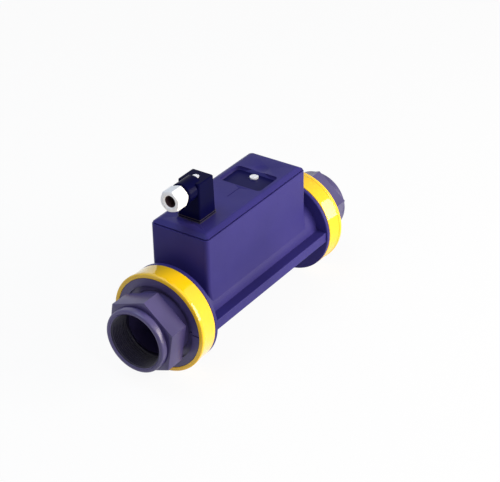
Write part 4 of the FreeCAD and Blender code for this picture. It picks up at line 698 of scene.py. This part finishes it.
screwThreads = {
    "plugScrewThread": {"screw": "plug_screw", "body": "plug_fastener", "up": 0.6,
                        "radius": 1.38, "lead": 0.5, "turns": 18.0, "depth": 0.28, "steps": 24},
    "coverScrewThread": {"screw": "cover_screw", "body": "cover_fastener", "up": 0.3,
                         "radius": 1.8, "lead": 0.7, "turns": 4.0, "depth": 0.34, "steps": 24},
}
for name, look in screwThreads.items():
    low, high = boxOf(look["screw"])
    foot = ((low.x + high.x) / 2, (low.y + high.y) / 2, low.z + look["up"])
    grownThread(name, foot, look, (0.0, 0.0, 0.0), steel, look["body"])

hubShape = {"first": 52.7, "last": 57.3, "radius": 47.2, "depth": 1.0, "steps": 160,
            "lead": unionShape["lead"]}


def hubThread(name, flip):
    # The ridge lies where the union ring's thread has its bottom: station = lead * angle / full turn.
    s = hubShape
    start, end = s["first"], s["last"]
    if flip:
        start, end = meterLength - s["last"], meterLength - s["first"]
    angle = 2 * math.pi * (start / s["lead"] % 1.0)
    spin = Matrix.Rotation(angle + math.pi / 2, 3, "X") @ Matrix.Rotation(math.pi / 2, 3, "Y")
    look = dict(s, turns=(end - start) / s["lead"])
    grownThread(name, (start, 0, 0), look, tuple(spin.to_euler()), indigo, "meter")


hubThread("inletHubThread", False)
hubThread("outletHubThread", True)
print("screw and hub threads wound")

# The floor and the world look white to the eye and in reflections, and light the object softly.
floorLook = {"color": linear(244, 244, 246), "size": 6.0, "lit": 0.93,
             "rough": 0.9, "patch": 4.0, "patchSpread": 0.1}
worldLook = {"color": (1.0, 0.95, 0.93, 1.0), "strength": 0.24}


def paleFloor():
    paint = Paint("paleFloor", floorLook["color"], floorLook["rough"])
    spread = floorLook["patchSpread"]
    paint.feed("Roughness", paint.noise(floorLook["patch"]) * spread + (floorLook["rough"] - spread / 2))
    glow = paint.node("ShaderNodeEmission", {}, {"Color": white, "Strength": 1.0})
    both = paint.node("ShaderNodeMixShader", {}, {
        0: paint.seen() * floorLook["lit"], 1: Wire(paint, paint.shader.outputs[0]), 2: glow})
    paint.tree.links.new(both.socket, paint.output.inputs["Surface"])
    size, z = floorLook["size"], lowCorner.z
    corners = [(-size, -size, z), (size, -size, z), (size, size, z), (-size, size, z)]
    mesh = bpy.data.meshes.new("floor")
    mesh.from_pydata(corners, [], [(0, 1, 2, 3)])
    mesh.materials.append(paint.material)
    floor = bpy.data.objects.new("floor", mesh)
    bpy.context.scene.collection.objects.link(floor)


def studioWorld():
    world = bpy.data.worlds.new("studio")
    world.use_nodes = True
    sky = Nodes(world.node_tree)
    shader = sky.tree.nodes["Background"]
    seen = sky.seen()
    color = sky.mix(seen, worldLook["color"], white)
    strength = seen * (1 - worldLook["strength"]) + worldLook["strength"]
    sky.tree.links.new(color.socket, shader.inputs["Color"])
    sky.tree.links.new(strength.socket, shader.inputs["Strength"])
    bpy.context.scene.world = world


paleFloor()
studioWorld()

lampLook = {
    "sideBox": {"at": (0.75, -1.2, 0.28), "size": 0.9, "power": 28.0, "color": (1.0, 0.91, 0.80)},
    "cornerBox": {"at": (-0.5, -1.05, 1.0), "size": 0.30, "power": 5.0, "color": (1.0, 0.94, 0.86)},
    "topBox": {"at": (-0.15, 0.35, 1.5), "size": 0.8, "power": 8.5, "color": (0.58, 0.76, 1.0)},
}
lampTarget = Vector((0.168, 0.0, 0.02))
for name, look in lampLook.items():
    light = bpy.data.lights.new(name, "AREA")
    light.shape = "SQUARE"
    light.size = look["size"]
    light.energy = look["power"]
    light.color = look["color"]
    lamp = bpy.data.objects.new(name, light)
    bpy.context.scene.collection.objects.link(lamp)
    lamp.location = look["at"]
    lamp.rotation_euler = (Vector(look["at"]) - lampTarget).to_track_quat("Z", "Y").to_euler()

# The camera looks back along a line given by two angles, is rolled a little and stands off the origin.
cameraLook = {"azimuth": -55.103, "elevation": 30.773, "roll": -1.163, "lens": 118.57, "sensor": 36.0,
              "across": 0.1126, "up": 0.09807, "distance": 1.595538}
azimuth, elevation, roll = [math.radians(cameraLook[key]) for key in ("azimuth", "elevation", "roll")]
level = math.cos(elevation)
back = Vector((math.sin(azimuth) * level, -math.cos(azimuth) * level, math.sin(elevation)))
flat = Vector((0, 0, 1)).cross(back).normalized()
upright = back.cross(flat)
right = math.cos(roll) * flat + math.sin(roll) * upright
above = math.cos(roll) * upright - math.sin(roll) * flat
stand = right * cameraLook["across"] + above * cameraLook["up"] + back * cameraLook["distance"]
camera = bpy.data.objects.new("camera", bpy.data.cameras.new("camera"))
bpy.context.scene.collection.objects.link(camera)
camera.data.lens = cameraLook["lens"]
camera.data.sensor_width = cameraLook["sensor"]
camera.matrix_world = Matrix.Translation(stand) @ Matrix((right, above, back)).transposed().to_4x4()
bpy.context.scene.camera = camera
bpy.context.scene.view_settings.view_transform = "Standard"
print("stage set")
